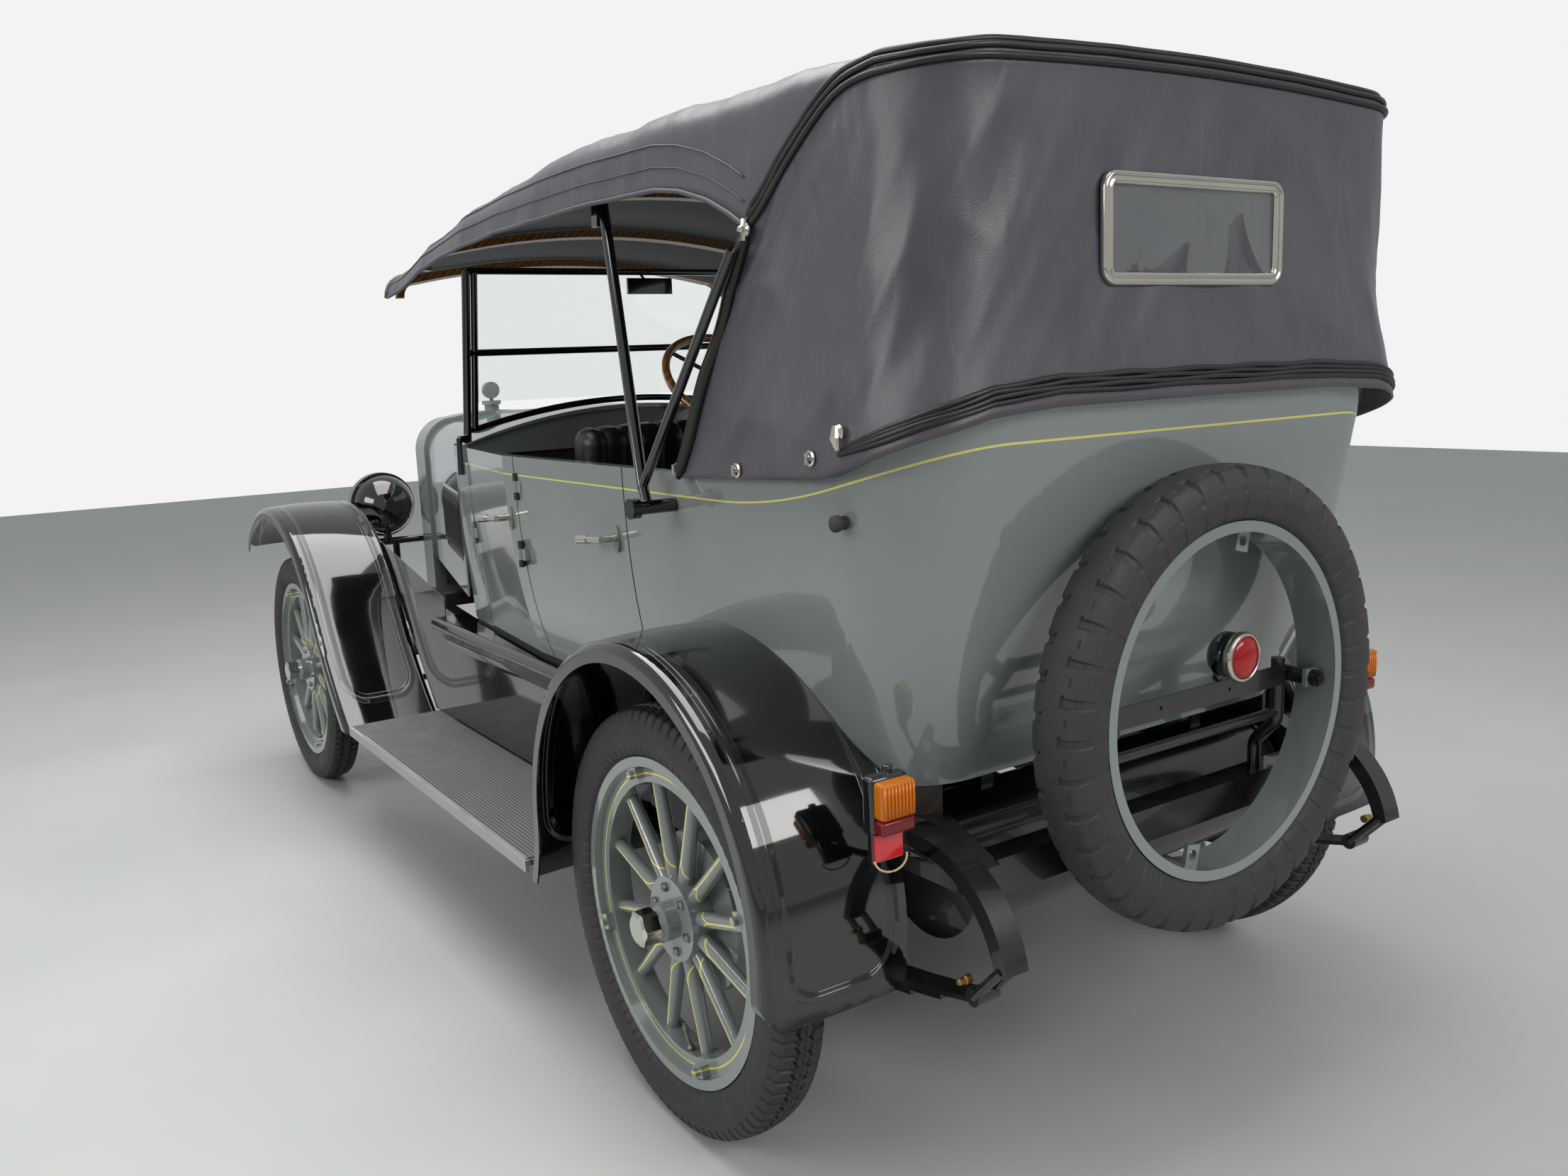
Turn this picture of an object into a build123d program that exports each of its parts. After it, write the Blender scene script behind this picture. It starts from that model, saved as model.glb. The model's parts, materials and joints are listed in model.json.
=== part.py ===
from build123d import *
import math
import os

# A 1920s open touring car with its folding hood raised, in millimetres.
# X points forward, Y to the left and Z up. Z = 0 is the ground, and X = 0, Y = 0 is the middle
# of the whole car. Stations along the car are given as distances from the rear or front axle.

# Axles and wheels
REAR_AXLE_X = -1206.0
WHEELBASE = 2616.0
HALF_TRACK = 700.0
TYRE_RADIUS = 393.7
TYRE_WIDTH = 102.0
RIM_RADIUS = 302.0
RIM_WIDTH = 76.0
RIM_WALL = 6.0
FELLOE_DEPTH = 32.0
FELLOE_WIDTH = 46.0
SPOKES = 12
SPOKE_WIDTH = 30.0
SPOKE_THICKNESS = 26.0
HUB_RADIUS = 78.0
HUB_BARREL_RADIUS = 36.0
HUB_REACH = 62.0
HUB_CAP_RADIUS = 31.0
HUB_CAP_LENGTH = 34.0
DRUM_RADIUS = 150.0
DRUM_WIDTH = 46.0
AXLE_BORE = 17.0

# Chassis
RAIL_TOP = 640.0
RAIL_HEIGHT = 105.0
RAIL_FLANGE = 42.0
RAIL_WEB = 6.0
REAR_RAIL_Y = 447.0
FRONT_RAIL_Y = 372.0
RAIL_TAIL = 545.0
RAIL_NOSE = 400.0
REAR_SPRING_Y = 495.0
SPRING_WIDTH = 46.0
LEAF = 8.0
SPRING_LEAVES = 6
EYE_RADIUS = 15.0
REAR_SPRING_MID = 340.0
REAR_SPRING_SPAN = 575.0
REAR_SPRING_RISE = 72.0
FRONT_SPRING_MID = 428.0
FRONT_SPRING_SPAN = 445.0

# Body shell
BODY_WALL = 30.0
SHUT_GAP = 5.0
HINGE_HEIGHTS = (960.0, 1120.0)
HINGE_HALF = 14.0
HINGE_BARREL = 7.0
HINGE_PIN = 3.5
HINGE_SET = 10.0
BODY_FLOOR = 690.0
WAIST = 1190.0
REAR_DOOR_BACK = 335.0
DOOR_SPLIT = 895.0
FRONT_DOOR_FRONT = 1400.0
COWL_FRONT = 1572.0
TAPER_START = 960.0
BELT_RISE_START = 60.0
TAIL_TOP = 1326.0
# height, half width at the doors, half width at the cowl, tail behind the rear axle, corner
BODY_SECTIONS = (
    (690.0, 527.0, 474.0, 420.0, 150.0),
    (860.0, 574.0, 486.0, 482.0, 165.0),
    (1020.0, 593.0, 495.0, 522.0, 178.0),
    (1190.0, 600.0, 500.0, 552.0, 188.0),
    (1330.0, 602.0, 502.0, 588.0, 195.0),
)
FLOOR_THICKNESS = 50.0
DASH_THICKNESS = 16.0
SCUTTLE_BACK = 1430.0
SCUTTLE_CROWN = 92.0
SCUTTLE_WALL = 12.0

# Bonnet and radiator
BONNET_FRONT = 2500.0
BONNET_BOTTOM = 752.0
BONNET_SHEET = 5.0
BONNET_GAP = 5.0
BONNET_ROD = 6.7
# half width, side top, centre height, at the cowl end and at the radiator end
BONNET_REAR = (491.0, 1095.0, 1272.0)
BONNET_NOSE = (272.0, 1120.0, 1246.0)
RADIATOR_DEPTH = 92.0
RADIATOR_RIM = 42.0
RADIATOR_LIP = 9.0
RADIATOR_BOTTOM = 600.0

# Fenders and running boards
FENDER_SHEET = 4.0
FENDER_OUTER = 806.0
FRONT_FENDER_INNER = 520.0
FRONT_FENDER_RADIUS = 560.0
FRONT_FENDER_CENTRE = (4.0, 410.0)
FRONT_FENDER_TIP_ANGLE = 44.0
FENDER_CORNER = 62.0
FENDER_SKIRT = 44.0
FRONT_FENDER_TURN = 150.0
REAR_FENDER_INNER = 508.0
REAR_FENDER_RADIUS = 442.0
REAR_FENDER_CENTRE = (0.0, 482.0)
BOARD_TOP = 366.0
BOARD_THICKNESS = 26.0
BOARD_INNER = 526.0
BOARD_OUTER = 800.0
MAT_THICKNESS = 3.0
MAT_EDGE = 4.0

# Hood
HOOD_SHEET = 12.0
HOOD_LEAN = 34.0
HOOD_OVERLAP = 14.0
# station, half width, edge height, centre height
HOOD_SECTIONS = (
    (-640.0, 566.0, 1772.0, 1815.0),
    (-300.0, 590.0, 1808.0, 1858.0),
    (130.0, 604.0, 1832.0, 1896.0),
    (560.0, 604.0, 1832.0, 1898.0),
    (1100.0, 596.0, 1788.0, 1850.0),
    (1500.0, 580.0, 1734.0, 1790.0),
    (1850.0, 560.0, 1672.0, 1722.0),
)

# Glass and frames
SCREEN_BASE = 1450.0
SCREEN_LEAN = 85.0
SCREEN_TOP = 1652.0
SCREEN_HALF_WIDTH = 478.0

# Joint places
STEER_LIMIT = 28.0
KINGPIN_Y = 610.0
ARM_LENGTH = 165.0

RUN_FIT = 0.3
FRONT_AXLE_X = REAR_AXLE_X + WHEELBASE


def at(station):
    """X of a place given as a distance ahead of the rear axle."""
    return REAR_AXLE_X + station


def block(x0, x1, y0, y1, z0, z1):
    """An upright block between two corners."""
    centre = ((x0 + x1) / 2, (y0 + y1) / 2, (z0 + z1) / 2)
    return Pos(*centre) * Box(abs(x1 - x0), abs(y1 - y0), abs(z1 - z0))


def rod(start, end, radius):
    """A round bar between two points."""
    a, b = Vector(*start), Vector(*end)
    return Solid.make_cylinder(radius, (b - a).length, Plane(origin=a, z_dir=(b - a)))


def tube_along(points, radii, radius):
    """A round bar along straight runs joined by tangent arcs."""
    path = FilletPolyline(*points, radius=radii)
    start = Plane(origin=path @ 0, z_dir=path % 0)
    return sweep(start * Circle(radius), path=path)


def mirrored(shape):
    """The same piece on the right-hand side."""
    return mirror(shape, about=Plane.XZ)


def profile_y(points, y0, y1):
    """A side-view outline in X and Z, given thickness from y0 to y1."""
    outline = make_face(Polyline(*[(x, 0, z) for x, z in points], close=True))
    solid = extrude(outline, amount=y1 - y0, dir=(0, 1, 0))
    return Pos(0, y0, 0) * solid


def solids_of(*shapes):
    """One compound of all the solids in some shapes."""
    found = []
    for shape in shapes:
        found += list(shape.solids())
    return Compound(children=found)


def save(name, *shapes):
    """Writes one node."""
    node = solids_of(*shapes)
    node.label = name
    export_step(node, f"parts/{name}.step")


# Body shell

def body_outline(height, half, cowl_half, tail, corner, inset=0.0):
    """One level of the body in plan: flat tail, round rear corners, sides that taper forward."""
    front = at(COWL_FRONT)
    taper = at(TAPER_START)
    back = at(-tail) + inset
    w, n, r = half - inset, cowl_half - inset, corner - inset
    bulge = r * (1 - math.sqrt(0.5))
    with BuildSketch(Plane.XY.offset(height)) as level:
        with BuildLine():
            Line((front, -n), (front, n))
            Line((front, n), (taper, w))
            Line((taper, w), (back + r, w))
            ThreePointArc((back + r, w), (back + bulge, w - bulge), (back, w - r))
            Line((back, w - r), (back, -w + r))
            ThreePointArc((back, -w + r), (back + bulge, -w + bulge), (back + r, -w))
            Line((back + r, -w), (taper, -w))
            Line((taper, -w), (front, -n))
        make_face()
    return level.sketch


def body_solid(inset=0.0, stretch=0.0):
    """The body's outer form, or the form of its inside when it is inset."""
    levels = []
    for height, half, cowl_half, tail, corner in BODY_SECTIONS:
        z = height
        if height == BODY_SECTIONS[0][0]:
            z -= stretch
        if height == BODY_SECTIONS[-1][0]:
            z += stretch
        levels.append(body_outline(z, half, cowl_half, tail, corner, inset))
    return loft(levels)


def belt_cutter(raise_by=0.0):
    """All that lies above the waist line, which rises towards the tail."""
    start = at(-BELT_RISE_START)
    end = at(-620.0)
    drop = (end - start) ** 2
    rise = TAIL_TOP - WAIST
    radius = (drop + rise ** 2) / (2 * rise)
    half_angle = math.atan2(rise, start - end)
    mid = (start - radius * math.sin(half_angle), WAIST + raise_by
           + radius * (1 - math.cos(half_angle)))
    with BuildSketch(Plane.XZ) as side:
        with BuildLine():
            Line((at(2000), WAIST + raise_by), (start, WAIST + raise_by))
            ThreePointArc((start, WAIST + raise_by), mid, (end, TAIL_TOP + raise_by))
            Line((end, TAIL_TOP + raise_by), (end - 200, TAIL_TOP + raise_by))
            Line((end - 200, TAIL_TOP + raise_by), (end - 200, 2200))
            Line((end - 200, 2200), (at(2000), 2200))
            Line((at(2000), 2200), (at(2000), WAIST + raise_by))
        make_face()
    return extrude(side.sketch, amount=1000, both=True)


def half_width_at(station, height):
    """Half width of the body at a station and a height."""
    rows = BODY_SECTIONS
    for low, high in zip(rows, rows[1:]):
        if height <= high[0]:
            break
    share = (height - low[0]) / (high[0] - low[0])
    wide = low[1] + share * (high[1] - low[1])
    narrow = low[2] + share * (high[2] - low[2])
    if station <= TAPER_START:
        return wide
    return wide + (narrow - wide) * (station - TAPER_START) / (COWL_FRONT - TAPER_START)


body_outer = body_solid()
body_shell = body_outer - body_solid(BODY_WALL, 10.0) - belt_cutter()


def shell_between(back, front, side):
    """The piece of the body side between two stations, on the left (1) or the right (-1)."""
    return body_shell & block(at(back), at(front), 0, side * 900, 600, 1500)


def fender_arch(extra):
    """A disc about the rear fender's centre, used to shape what stands next to it."""
    centre = (at(REAR_FENDER_CENTRE[0]), 0, REAR_FENDER_CENTRE[1])
    return Pos(*centre) * Rot(90, 0, 0) * Cylinder(REAR_FENDER_RADIUS + extra, 2400)


DOOR_BOTTOM = BODY_FLOOR + SHUT_GAP


def hinge_axis(station, side):
    """Foot of a door's upright hinge line, a little behind its front shut gap."""
    return at(station) - HINGE_SET, side * half_width_at(station, WAIST)


def hinge_room(station, side, around):
    """Space round the hinge line at the door's own knuckles, or at the post's."""
    x, y = hinge_axis(station, side)
    room = None
    for height in HINGE_HEIGHTS:
        spans = ((-1.0, 1.0),) if around == "door" else ((-2.2, -1.0), (1.0, 2.2))
        for low, high in spans:
            piece = rod((x, y, height + low * HINGE_HALF - 1), (x, y, height + high * HINGE_HALF + 1),
                        HINGE_BARREL + 3)
            room = piece if room is None else room + piece
    return room


def door_knuckles(station, side):
    """The door's half of its two barrel hinges, with leaves on the door's skin."""
    x, y = hinge_axis(station, side)
    found = None
    for height in HINGE_HEIGHTS:
        z0, z1 = height - HINGE_HALF + 0.5, height + HINGE_HALF - 0.5
        skin = half_width_at(station, height)
        knuckle_part = rod((x, y, z0), (x, y, z1), HINGE_BARREL)
        y0, y1 = sorted((side * (skin - 8), side * (abs(y) + 1)))
        knuckle_part += block(x - 26, x, y0, y1, z0, z1)
        knuckle_part -= rod((x, y, z0 - 5), (x, y, z1 + 5), HINGE_PIN + RUN_FIT)
        found = knuckle_part if found is None else found + knuckle_part
    return found


def post_knuckles(station, side, depth):
    """The post's half of the hinges, with the pins; thin leaves run inwards through the shut gap."""
    x, y = hinge_axis(station, side)
    gap = at(station)
    found = None
    for height in HINGE_HEIGHTS:
        reach = 2.2 * HINGE_HALF
        for low, high in ((-reach, -HINGE_HALF), (HINGE_HALF, reach)):
            z0, z1 = height + low, height + high
            part = rod((x, y, z0), (x, y, z1), HINGE_BARREL)
            inner_y = half_width_at(station, height) - depth
            y0, y1 = sorted((side * inner_y, y))
            part += block(gap - 1.4, gap + 1.4, y0, y1, z0, z1)
            part += block(x, gap + 1.4, y - 1.4, y + 1.4, z0, z1)
            found = part if found is None else found + part
        found += rod((x, y, height - reach), (x, y, height + reach), HINGE_PIN)
    return found


def door(back, front, side, arch=False):
    """A door panel as thick as the body wall, its handle near its rear edge."""
    panel = shell_between(back + SHUT_GAP / 2, front - SHUT_GAP / 2, side)
    panel = panel & block(at(-900), at(2000), -900, 900, DOOR_BOTTOM, 1500)
    if arch:
        panel = panel - fender_arch(38.0)
    handle_x = at(back + 44.0)
    handle_z = 1044.0
    skin = half_width_at(back + 44.0, handle_z)
    foot = Pos(handle_x, side * (skin + 2), handle_z) * Rot(90, 0, 0)
    plate = foot * extrude(Ellipse(11, 30), amount=4, both=True)
    spindle = rod((handle_x, side * (skin - 4), handle_z), (handle_x, side * (skin + 46), handle_z), 8)
    lever = rod((handle_x - 14, side * (skin + 44), handle_z + 1),
                (handle_x + 52, side * (skin + 44), handle_z - 3), 7)
    grip = rod((handle_x + 48, side * (skin + 44), handle_z - 3),
               (handle_x + 96, side * (skin + 43), handle_z - 7), 9.5)
    panel -= hinge_room(front, side, "post") + hinge_room(front, side, "door")
    return panel + plate + spindle + lever + grip + door_knuckles(front, side)


# Wheels, built about their own hub with the outboard side towards +Y

def ring(profile):
    """A profile of radius and axial place, turned about the Y axis."""
    points = [(radius, place, 0) for radius, place in profile]
    return revolve(make_face(Polyline(*points, close=True)), Axis.Y)


def tyre():
    """Tyre with a flat tread, its sides running in to the tops of the rim flanges."""
    r, w = TYRE_RADIUS, TYRE_WIDTH / 2
    bead = RIM_RADIUS + RUN_FIT
    seat = RIM_WIDTH / 2 - RIM_WALL / 2
    profile = ((r, -w * 0.55), (r, w * 0.55), (r - 40, w), (bead, seat), (bead, -seat),
               (r - 40, -w))
    return ring(profile)


def rim_section():
    """Steel rim: a flat base and two flanges."""
    w, base = RIM_WIDTH / 2, RIM_RADIUS - 12.0 - RUN_FIT
    return ((base - RIM_WALL, -w), (RIM_RADIUS, -w), (RIM_RADIUS, -w + RIM_WALL),
            (base, -w + RIM_WALL), (base, w - RIM_WALL), (RIM_RADIUS, w - RIM_WALL),
            (RIM_RADIUS, w), (base - RIM_WALL, w))


def wheel():
    """Wooden artillery wheel: rim, felloe, spokes, hub, brake drum seat and cap."""
    base = RIM_RADIUS - 12.0 - RUN_FIT - RIM_WALL
    felloe_in = base - FELLOE_DEPTH
    body = ring(rim_section())
    half = FELLOE_WIDTH / 2
    body += ring(((felloe_in, -half), (base + 1, -half), (base + 1, half), (felloe_in, half)))
    spoke_plane_in = Plane(origin=(HUB_RADIUS - 16, 0, 0), x_dir=(0, 1, 0), z_dir=(1, 0, 0))
    spoke_plane_out = Plane(origin=(felloe_in + 6, 0, 0), x_dir=(0, 1, 0), z_dir=(1, 0, 0))
    inner = spoke_plane_in * Ellipse(SPOKE_THICKNESS / 2 + 3, SPOKE_WIDTH / 2)
    outer = spoke_plane_out * Ellipse(SPOKE_THICKNESS / 2 - 1, SPOKE_WIDTH / 2 - 3)
    spoke = loft([inner, outer])
    for index in range(SPOKES):
        body += Rot(0, (index + 0.5) * 360 / SPOKES, 0) * spoke
    body += ring(((AXLE_BORE, -24), (HUB_RADIUS, -24), (HUB_RADIUS, 24), (AXLE_BORE, 24)))
    flat = HUB_CAP_RADIUS - 2
    body += ring(((AXLE_BORE, -34), (HUB_BARREL_RADIUS, -34), (HUB_BARREL_RADIUS, HUB_REACH - 12),
                  (flat, HUB_REACH), (AXLE_BORE, HUB_REACH)))
    cap = Pos(0, HUB_REACH, 0) * Rot(-90, 0, 0) * extrude(RegularPolygon(HUB_CAP_RADIUS + 4, 6),
                                                         amount=HUB_CAP_LENGTH)
    cap = cap & ring(((0, HUB_REACH), (HUB_CAP_RADIUS + 2, HUB_REACH),
                      (HUB_CAP_RADIUS + 2, HUB_REACH + HUB_CAP_LENGTH - 5),
                      (HUB_CAP_RADIUS - 6, HUB_REACH + HUB_CAP_LENGTH),
                      (0, HUB_REACH + HUB_CAP_LENGTH)))
    body += cap
    lug = block(-15, 15, half - 1, half + 15, felloe_in + 8, base - 2)
    lug += Pos(0, half + 12, felloe_in + 18) * Rot(90, 0, 0) * Cylinder(8, 24)
    for index in range(4):
        body += Rot(0, 20 + index * 90, 0) * lug
    return body


def placed(part, x, side, z=TYRE_RADIUS):
    """A wheel piece put on its axle, turned about for the right-hand side."""
    piece = part if side > 0 else mirrored(part)
    return Pos(x, side * HALF_TRACK, z) * piece


# Fenders

def fender_section(angle, centre_x, centre_z, radius, inner):
    """A crowned sheet with a deep rounded skirt outside, on the plane at one angle of the arch."""
    a = math.radians(angle)
    plane = Plane(origin=(centre_x, 0, centre_z), x_dir=(math.cos(a), 0, math.sin(a)),
                  z_dir=(-math.sin(a), 0, math.cos(a)))
    t = FENDER_SHEET
    outer = FENDER_OUTER
    r = radius
    mid = (inner + outer) / 2
    skirt = r - FENDER_SKIRT
    with BuildSketch(plane) as section:
        with BuildLine():
            Line((skirt, outer), (r - 24, outer))
            ThreePointArc((r - 24, outer), (r - 12, outer - 6), (r - 6, outer - 18))
            ThreePointArc((r - 6, outer - 18), (r, mid), (r - 6, inner + 18))
            ThreePointArc((r - 6, inner + 18), (r - 10, inner + 5), (r - 20, inner))
            Line((r - 20, inner), (r - 20, inner + t))
            ThreePointArc((r - 20, inner + t), (r - 13, inner + 8), (r - 6 - t, inner + 19))
            ThreePointArc((r - 6 - t, inner + 19), (r - t, mid), (r - 6 - t, outer - 19))
            ThreePointArc((r - 6 - t, outer - 19), (r - 15.5, outer - 9), (r - 24, outer - t))
            Line((r - 24, outer - t), (skirt, outer - t))
            Line((skirt, outer - t), (skirt, outer))
        make_face()
    return section.sketch


def fender_arc(section, centre, start, end):
    """Turns a fender section about the arch's centre, from one angle to another."""
    axis = Axis((centre[0], 0, centre[1]), (0, -1, 0))
    return revolve(section, axis, revolution_arc=end - start)


def fender_flare(angle, centre, radius, inner, bend_radius, turn):
    """The reverse curve that carries a fender outwards at the end of its arch."""
    a = math.radians(angle)
    reach = radius + bend_radius
    axis = Axis((centre[0] + reach * math.cos(a), 0, centre[1] + reach * math.sin(a)), (0, 1, 0))
    section = fender_section(angle, centre[0], centre[1], radius, inner)
    if turn < 0:
        axis = Axis(axis.position, (0, -1, 0))
    return revolve(section, axis, revolution_arc=abs(turn))


front_centre = (FRONT_AXLE_X + FRONT_FENDER_CENTRE[0], FRONT_FENDER_CENTRE[1])
rear_centre = (at(REAR_FENDER_CENTRE[0]), REAR_FENDER_CENTRE[1])
above_board = block(-3000, 3000, 0, 1000, BOARD_TOP - BOARD_THICKNESS, 1200)


def rounded_end(x_dir, z_dir, origin, inner):
    """A keeper whose end has round corners, seen along z_dir, with x_dir pointing to the end."""
    plane = Plane(origin=origin, x_dir=x_dir, z_dir=z_dir)
    width = FENDER_OUTER - inner + 2.0
    keep = Pos(-600 + 1.0, 0, 0) * Box(1200, width, 2400)
    ends = keep.edges().filter_by(Axis.Z).group_by(Axis.X)[-1]
    return plane * fillet(ends, FENDER_CORNER)


def front_fender():
    """Arch, reverse curve down to the running board, and the inner valance."""
    c, r = front_centre, FRONT_FENDER_RADIUS
    tip, turn = FRONT_FENDER_TIP_ANGLE, FRONT_FENDER_TURN
    section = fender_section(tip, c[0], c[1], r, FRONT_FENDER_INNER)
    shape = fender_arc(section, c, tip, turn)
    flare = fender_flare(turn, c, r, FRONT_FENDER_INNER, 1250.0, 24.0)
    shape += flare
    top = (c[0] + 130, c[1] + r - 30)
    knee = (at(1700), 735.0)
    foot = (at(1700), BOARD_TOP)
    front_foot = (at(1862), BOARD_TOP)
    a = math.radians(turn)
    hip = (c[0] + (r - 10) * math.cos(a), c[1] + (r - 10) * math.sin(a))
    outline = (top, knee, foot, front_foot, hip, (c[0] - 180, c[1] + r - 44))
    y = FRONT_FENDER_INNER
    valance = profile_y(outline, y + 0.7, y + FENDER_SHEET - 0.7)
    hollow = Pos(c[0], 0, c[1]) * Rot(90, 0, 0) * Cylinder(r - 17, 2400)
    whole = (shape + (valance - hollow)) & above_board
    tip_x = c[0] + r * math.cos(math.radians(tip))
    keeper = rounded_end((1, 0, 0), (0, 0, 1), (tip_x, (FRONT_FENDER_INNER + FENDER_OUTER) / 2, 0),
                         FRONT_FENDER_INNER)
    keeper += block(-3000, tip_x - 400, 0, 1000, 0, 2000)
    return whole & keeper


def rear_fender():
    """Arch that ends in a foot on the board and a flared tail, let in against the body side."""
    c, r = rear_centre, REAR_FENDER_RADIUS
    section = fender_section(0, c[0], c[1], r, REAR_FENDER_INNER)
    shape = fender_arc(section, c, 0, 184)
    shape += fender_flare(184, c, r, REAR_FENDER_INNER, 170.0, 22.0)
    shape += fender_flare(0, c, r, REAR_FENDER_INNER, 300.0, -28.0)
    lower = block(at(-700), at(600), 0, REAR_SPRING_Y + 34, 0, BODY_FLOOR)
    cut = (shape & above_board) - body_solid(-1.0) - lower
    sheet = max(cut.solids(), key=lambda solid: solid.volume)
    tail = block(-3000, at(-300), 0, 1000, 0, BODY_FLOOR)
    low = sheet & tail
    tail_inner = REAR_SPRING_Y + 34
    mid_y = (tail_inner + FENDER_OUTER) / 2
    keeper = rounded_end((0, 0, -1), (1, 0, 0), (at(-500), mid_y, low.bounding_box().min.Z),
                         tail_inner)
    return (sheet - tail) + (low & keeper)


# Chassis

RAIL_BOTTOM = RAIL_TOP - RAIL_HEIGHT
nose_x = FRONT_AXLE_X + RAIL_NOSE
tail_x = at(-RAIL_TAIL)
rail_bend_back = at(1500.0)
rail_bend_front = at(2150.0)


def rail_band(inner, outer, z0, z1):
    """A band in plan that follows the rail: straight, tapering in, then straight again."""
    rear, front = REAR_RAIL_Y, FRONT_RAIL_Y
    points = ((tail_x, rear + inner), (rail_bend_back, rear + inner),
              (rail_bend_front, front + inner), (nose_x, front + inner),
              (nose_x, front + outer), (rail_bend_front, front + outer),
              (rail_bend_back, rear + outer), (tail_x, rear + outer))
    return Pos(0, 0, z0) * extrude(make_face(Polyline(*points, close=True)), amount=z1 - z0)


FRONT_EYE_Z = 494.0
CHEEK = 6.0


def rail_top_at(x):
    """Height of the rail's top, which falls away towards the nose."""
    start = FRONT_AXLE_X - 200
    if x <= start:
        return RAIL_TOP
    return RAIL_TOP + (FRONT_EYE_Z + 44 - RAIL_TOP) * (x - start) / (nose_x - start)


def side_rail():
    """Channel side rail, open towards the middle, with a dropped nose and tail."""
    half = RAIL_FLANGE / 2
    rail = rail_band(-half, half, RAIL_BOTTOM - 90, RAIL_TOP)
    drop_x = FRONT_AXLE_X - 260
    outline = ((tail_x, RAIL_BOTTOM + 6), (at(-300), RAIL_BOTTOM), (drop_x, RAIL_BOTTOM),
               (nose_x, FRONT_EYE_Z + 6), (nose_x, FRONT_EYE_Z + 44), (drop_x + 60, RAIL_TOP),
               (at(-430), RAIL_TOP), (tail_x, RAIL_TOP - 46))
    solid = rail & profile_y(outline, 0, 900)
    t = RAIL_WEB
    pocket = rail_band(-half - 1, half - t, RAIL_BOTTOM - 90, RAIL_TOP)
    inner = ((at(-290), RAIL_BOTTOM + t), (drop_x, RAIL_BOTTOM + t), (drop_x, RAIL_TOP - t),
             (at(-290), RAIL_TOP - t))
    return solid - (pocket & profile_y(inner, 0, 900))


def cross_member(x, y, width, height, top):
    """A pressed cross member between the rails."""
    return block(x - width / 2, x + width / 2, -y, y, top - height, top)


def chassis_frame():
    """Two rails, their cross members, spring hangers and the horns' spring eyes."""
    left = side_rail()
    cheek_in = SPRING_WIDTH / 2 + RUN_FIT
    eye_x = FRONT_AXLE_X + FRONT_SPRING_SPAN
    for sign in (-1, 1):
        y_in = FRONT_RAIL_Y + sign * cheek_in
        left += block(nose_x - 40, eye_x + 16, min(y_in, y_in + sign * CHEEK),
                      max(y_in, y_in + sign * CHEEK), FRONT_EYE_Z - 17, FRONT_EYE_Z + 28)
        left += block(nose_x - 40, nose_x - 2, FRONT_RAIL_Y, y_in + sign * CHEEK,
                      FRONT_EYE_Z + 12, FRONT_EYE_Z + 28)
    left += block(FRONT_AXLE_X - FRONT_SPRING_SPAN - 20, FRONT_AXLE_X - FRONT_SPRING_SPAN + 20,
                  FRONT_RAIL_Y - 21, FRONT_RAIL_Y + 21, FRONT_EYE_Z + EYE_RADIUS + RUN_FIT,
                  RAIL_BOTTOM + 4)
    outer = REAR_SPRING_Y + SPRING_WIDTH / 2
    eye_top = REAR_SPRING_MID + REAR_SPRING_RISE + EYE_RADIUS
    left += block(at(REAR_SPRING_SPAN - 30), at(REAR_SPRING_SPAN + 30), REAR_RAIL_Y + 15, outer,
                  eye_top + RUN_FIT, RAIL_BOTTOM + 30)
    left += block(at(-470), at(-400), REAR_RAIL_Y + 15, REAR_SPRING_Y - SPRING_WIDTH / 2
                  - RUN_FIT, RAIL_TOP - 70, RAIL_TOP - 32)
    frame = left + mirrored(left)
    inner_rear = REAR_RAIL_Y - RAIL_FLANGE / 2 + 3
    inner_front = FRONT_RAIL_Y - RAIL_FLANGE / 2 + 3
    for station, width in ((-515.0, 50.0), (640.0, 60.0)):
        frame += cross_member(at(station), inner_rear, width, 60, RAIL_TOP - 40)
    frame += cross_member(at(1240), REAR_RAIL_Y + RAIL_FLANGE / 2 - RAIL_WEB + 2, 60, 70,
                          RAIL_TOP - 20)
    frame += cross_member(FRONT_AXLE_X + 60, inner_front, 70, 60, RAIL_TOP - 45)
    return frame


def leaf_pack(x_mid, y, z_mid, half_span, rise, leaves, side=1):
    """Semi-elliptic spring: one full leaf with eyes and shorter leaves stacked below it."""
    radius = (half_span ** 2 + rise ** 2) / (2 * rise)
    pack = None
    for index in range(leaves):
        length = half_span * (1 - 0.13 * index)
        r_in = radius + index * LEAF
        r_out = r_in + LEAF
        a = math.asin(min(0.99, length / r_in))
        centre_z = z_mid + radius
        with BuildSketch(Plane.XZ) as section:
            with BuildLine():
                def point(r, angle):
                    return (x_mid + r * math.sin(angle), centre_z - r * math.cos(angle))
                ThreePointArc(point(r_in, -a), point(r_in, 0), point(r_in, a))
                Line(point(r_in, a), point(r_out, a))
                ThreePointArc(point(r_out, a), point(r_out, 0), point(r_out, -a))
                Line(point(r_out, -a), point(r_in, -a))
            make_face()
        leaf = extrude(section.sketch, amount=SPRING_WIDTH / 2, both=True)
        leaf = Pos(0, y, 0) * leaf
        pack = leaf if pack is None else pack + leaf
    z_eye = z_mid + rise
    for end in (-1, 1):
        x = x_mid + end * half_span
        pack += rod((x, y - SPRING_WIDTH / 2, z_eye), (x, y + SPRING_WIDTH / 2, z_eye),
                    EYE_RADIUS)
    return pack


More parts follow.
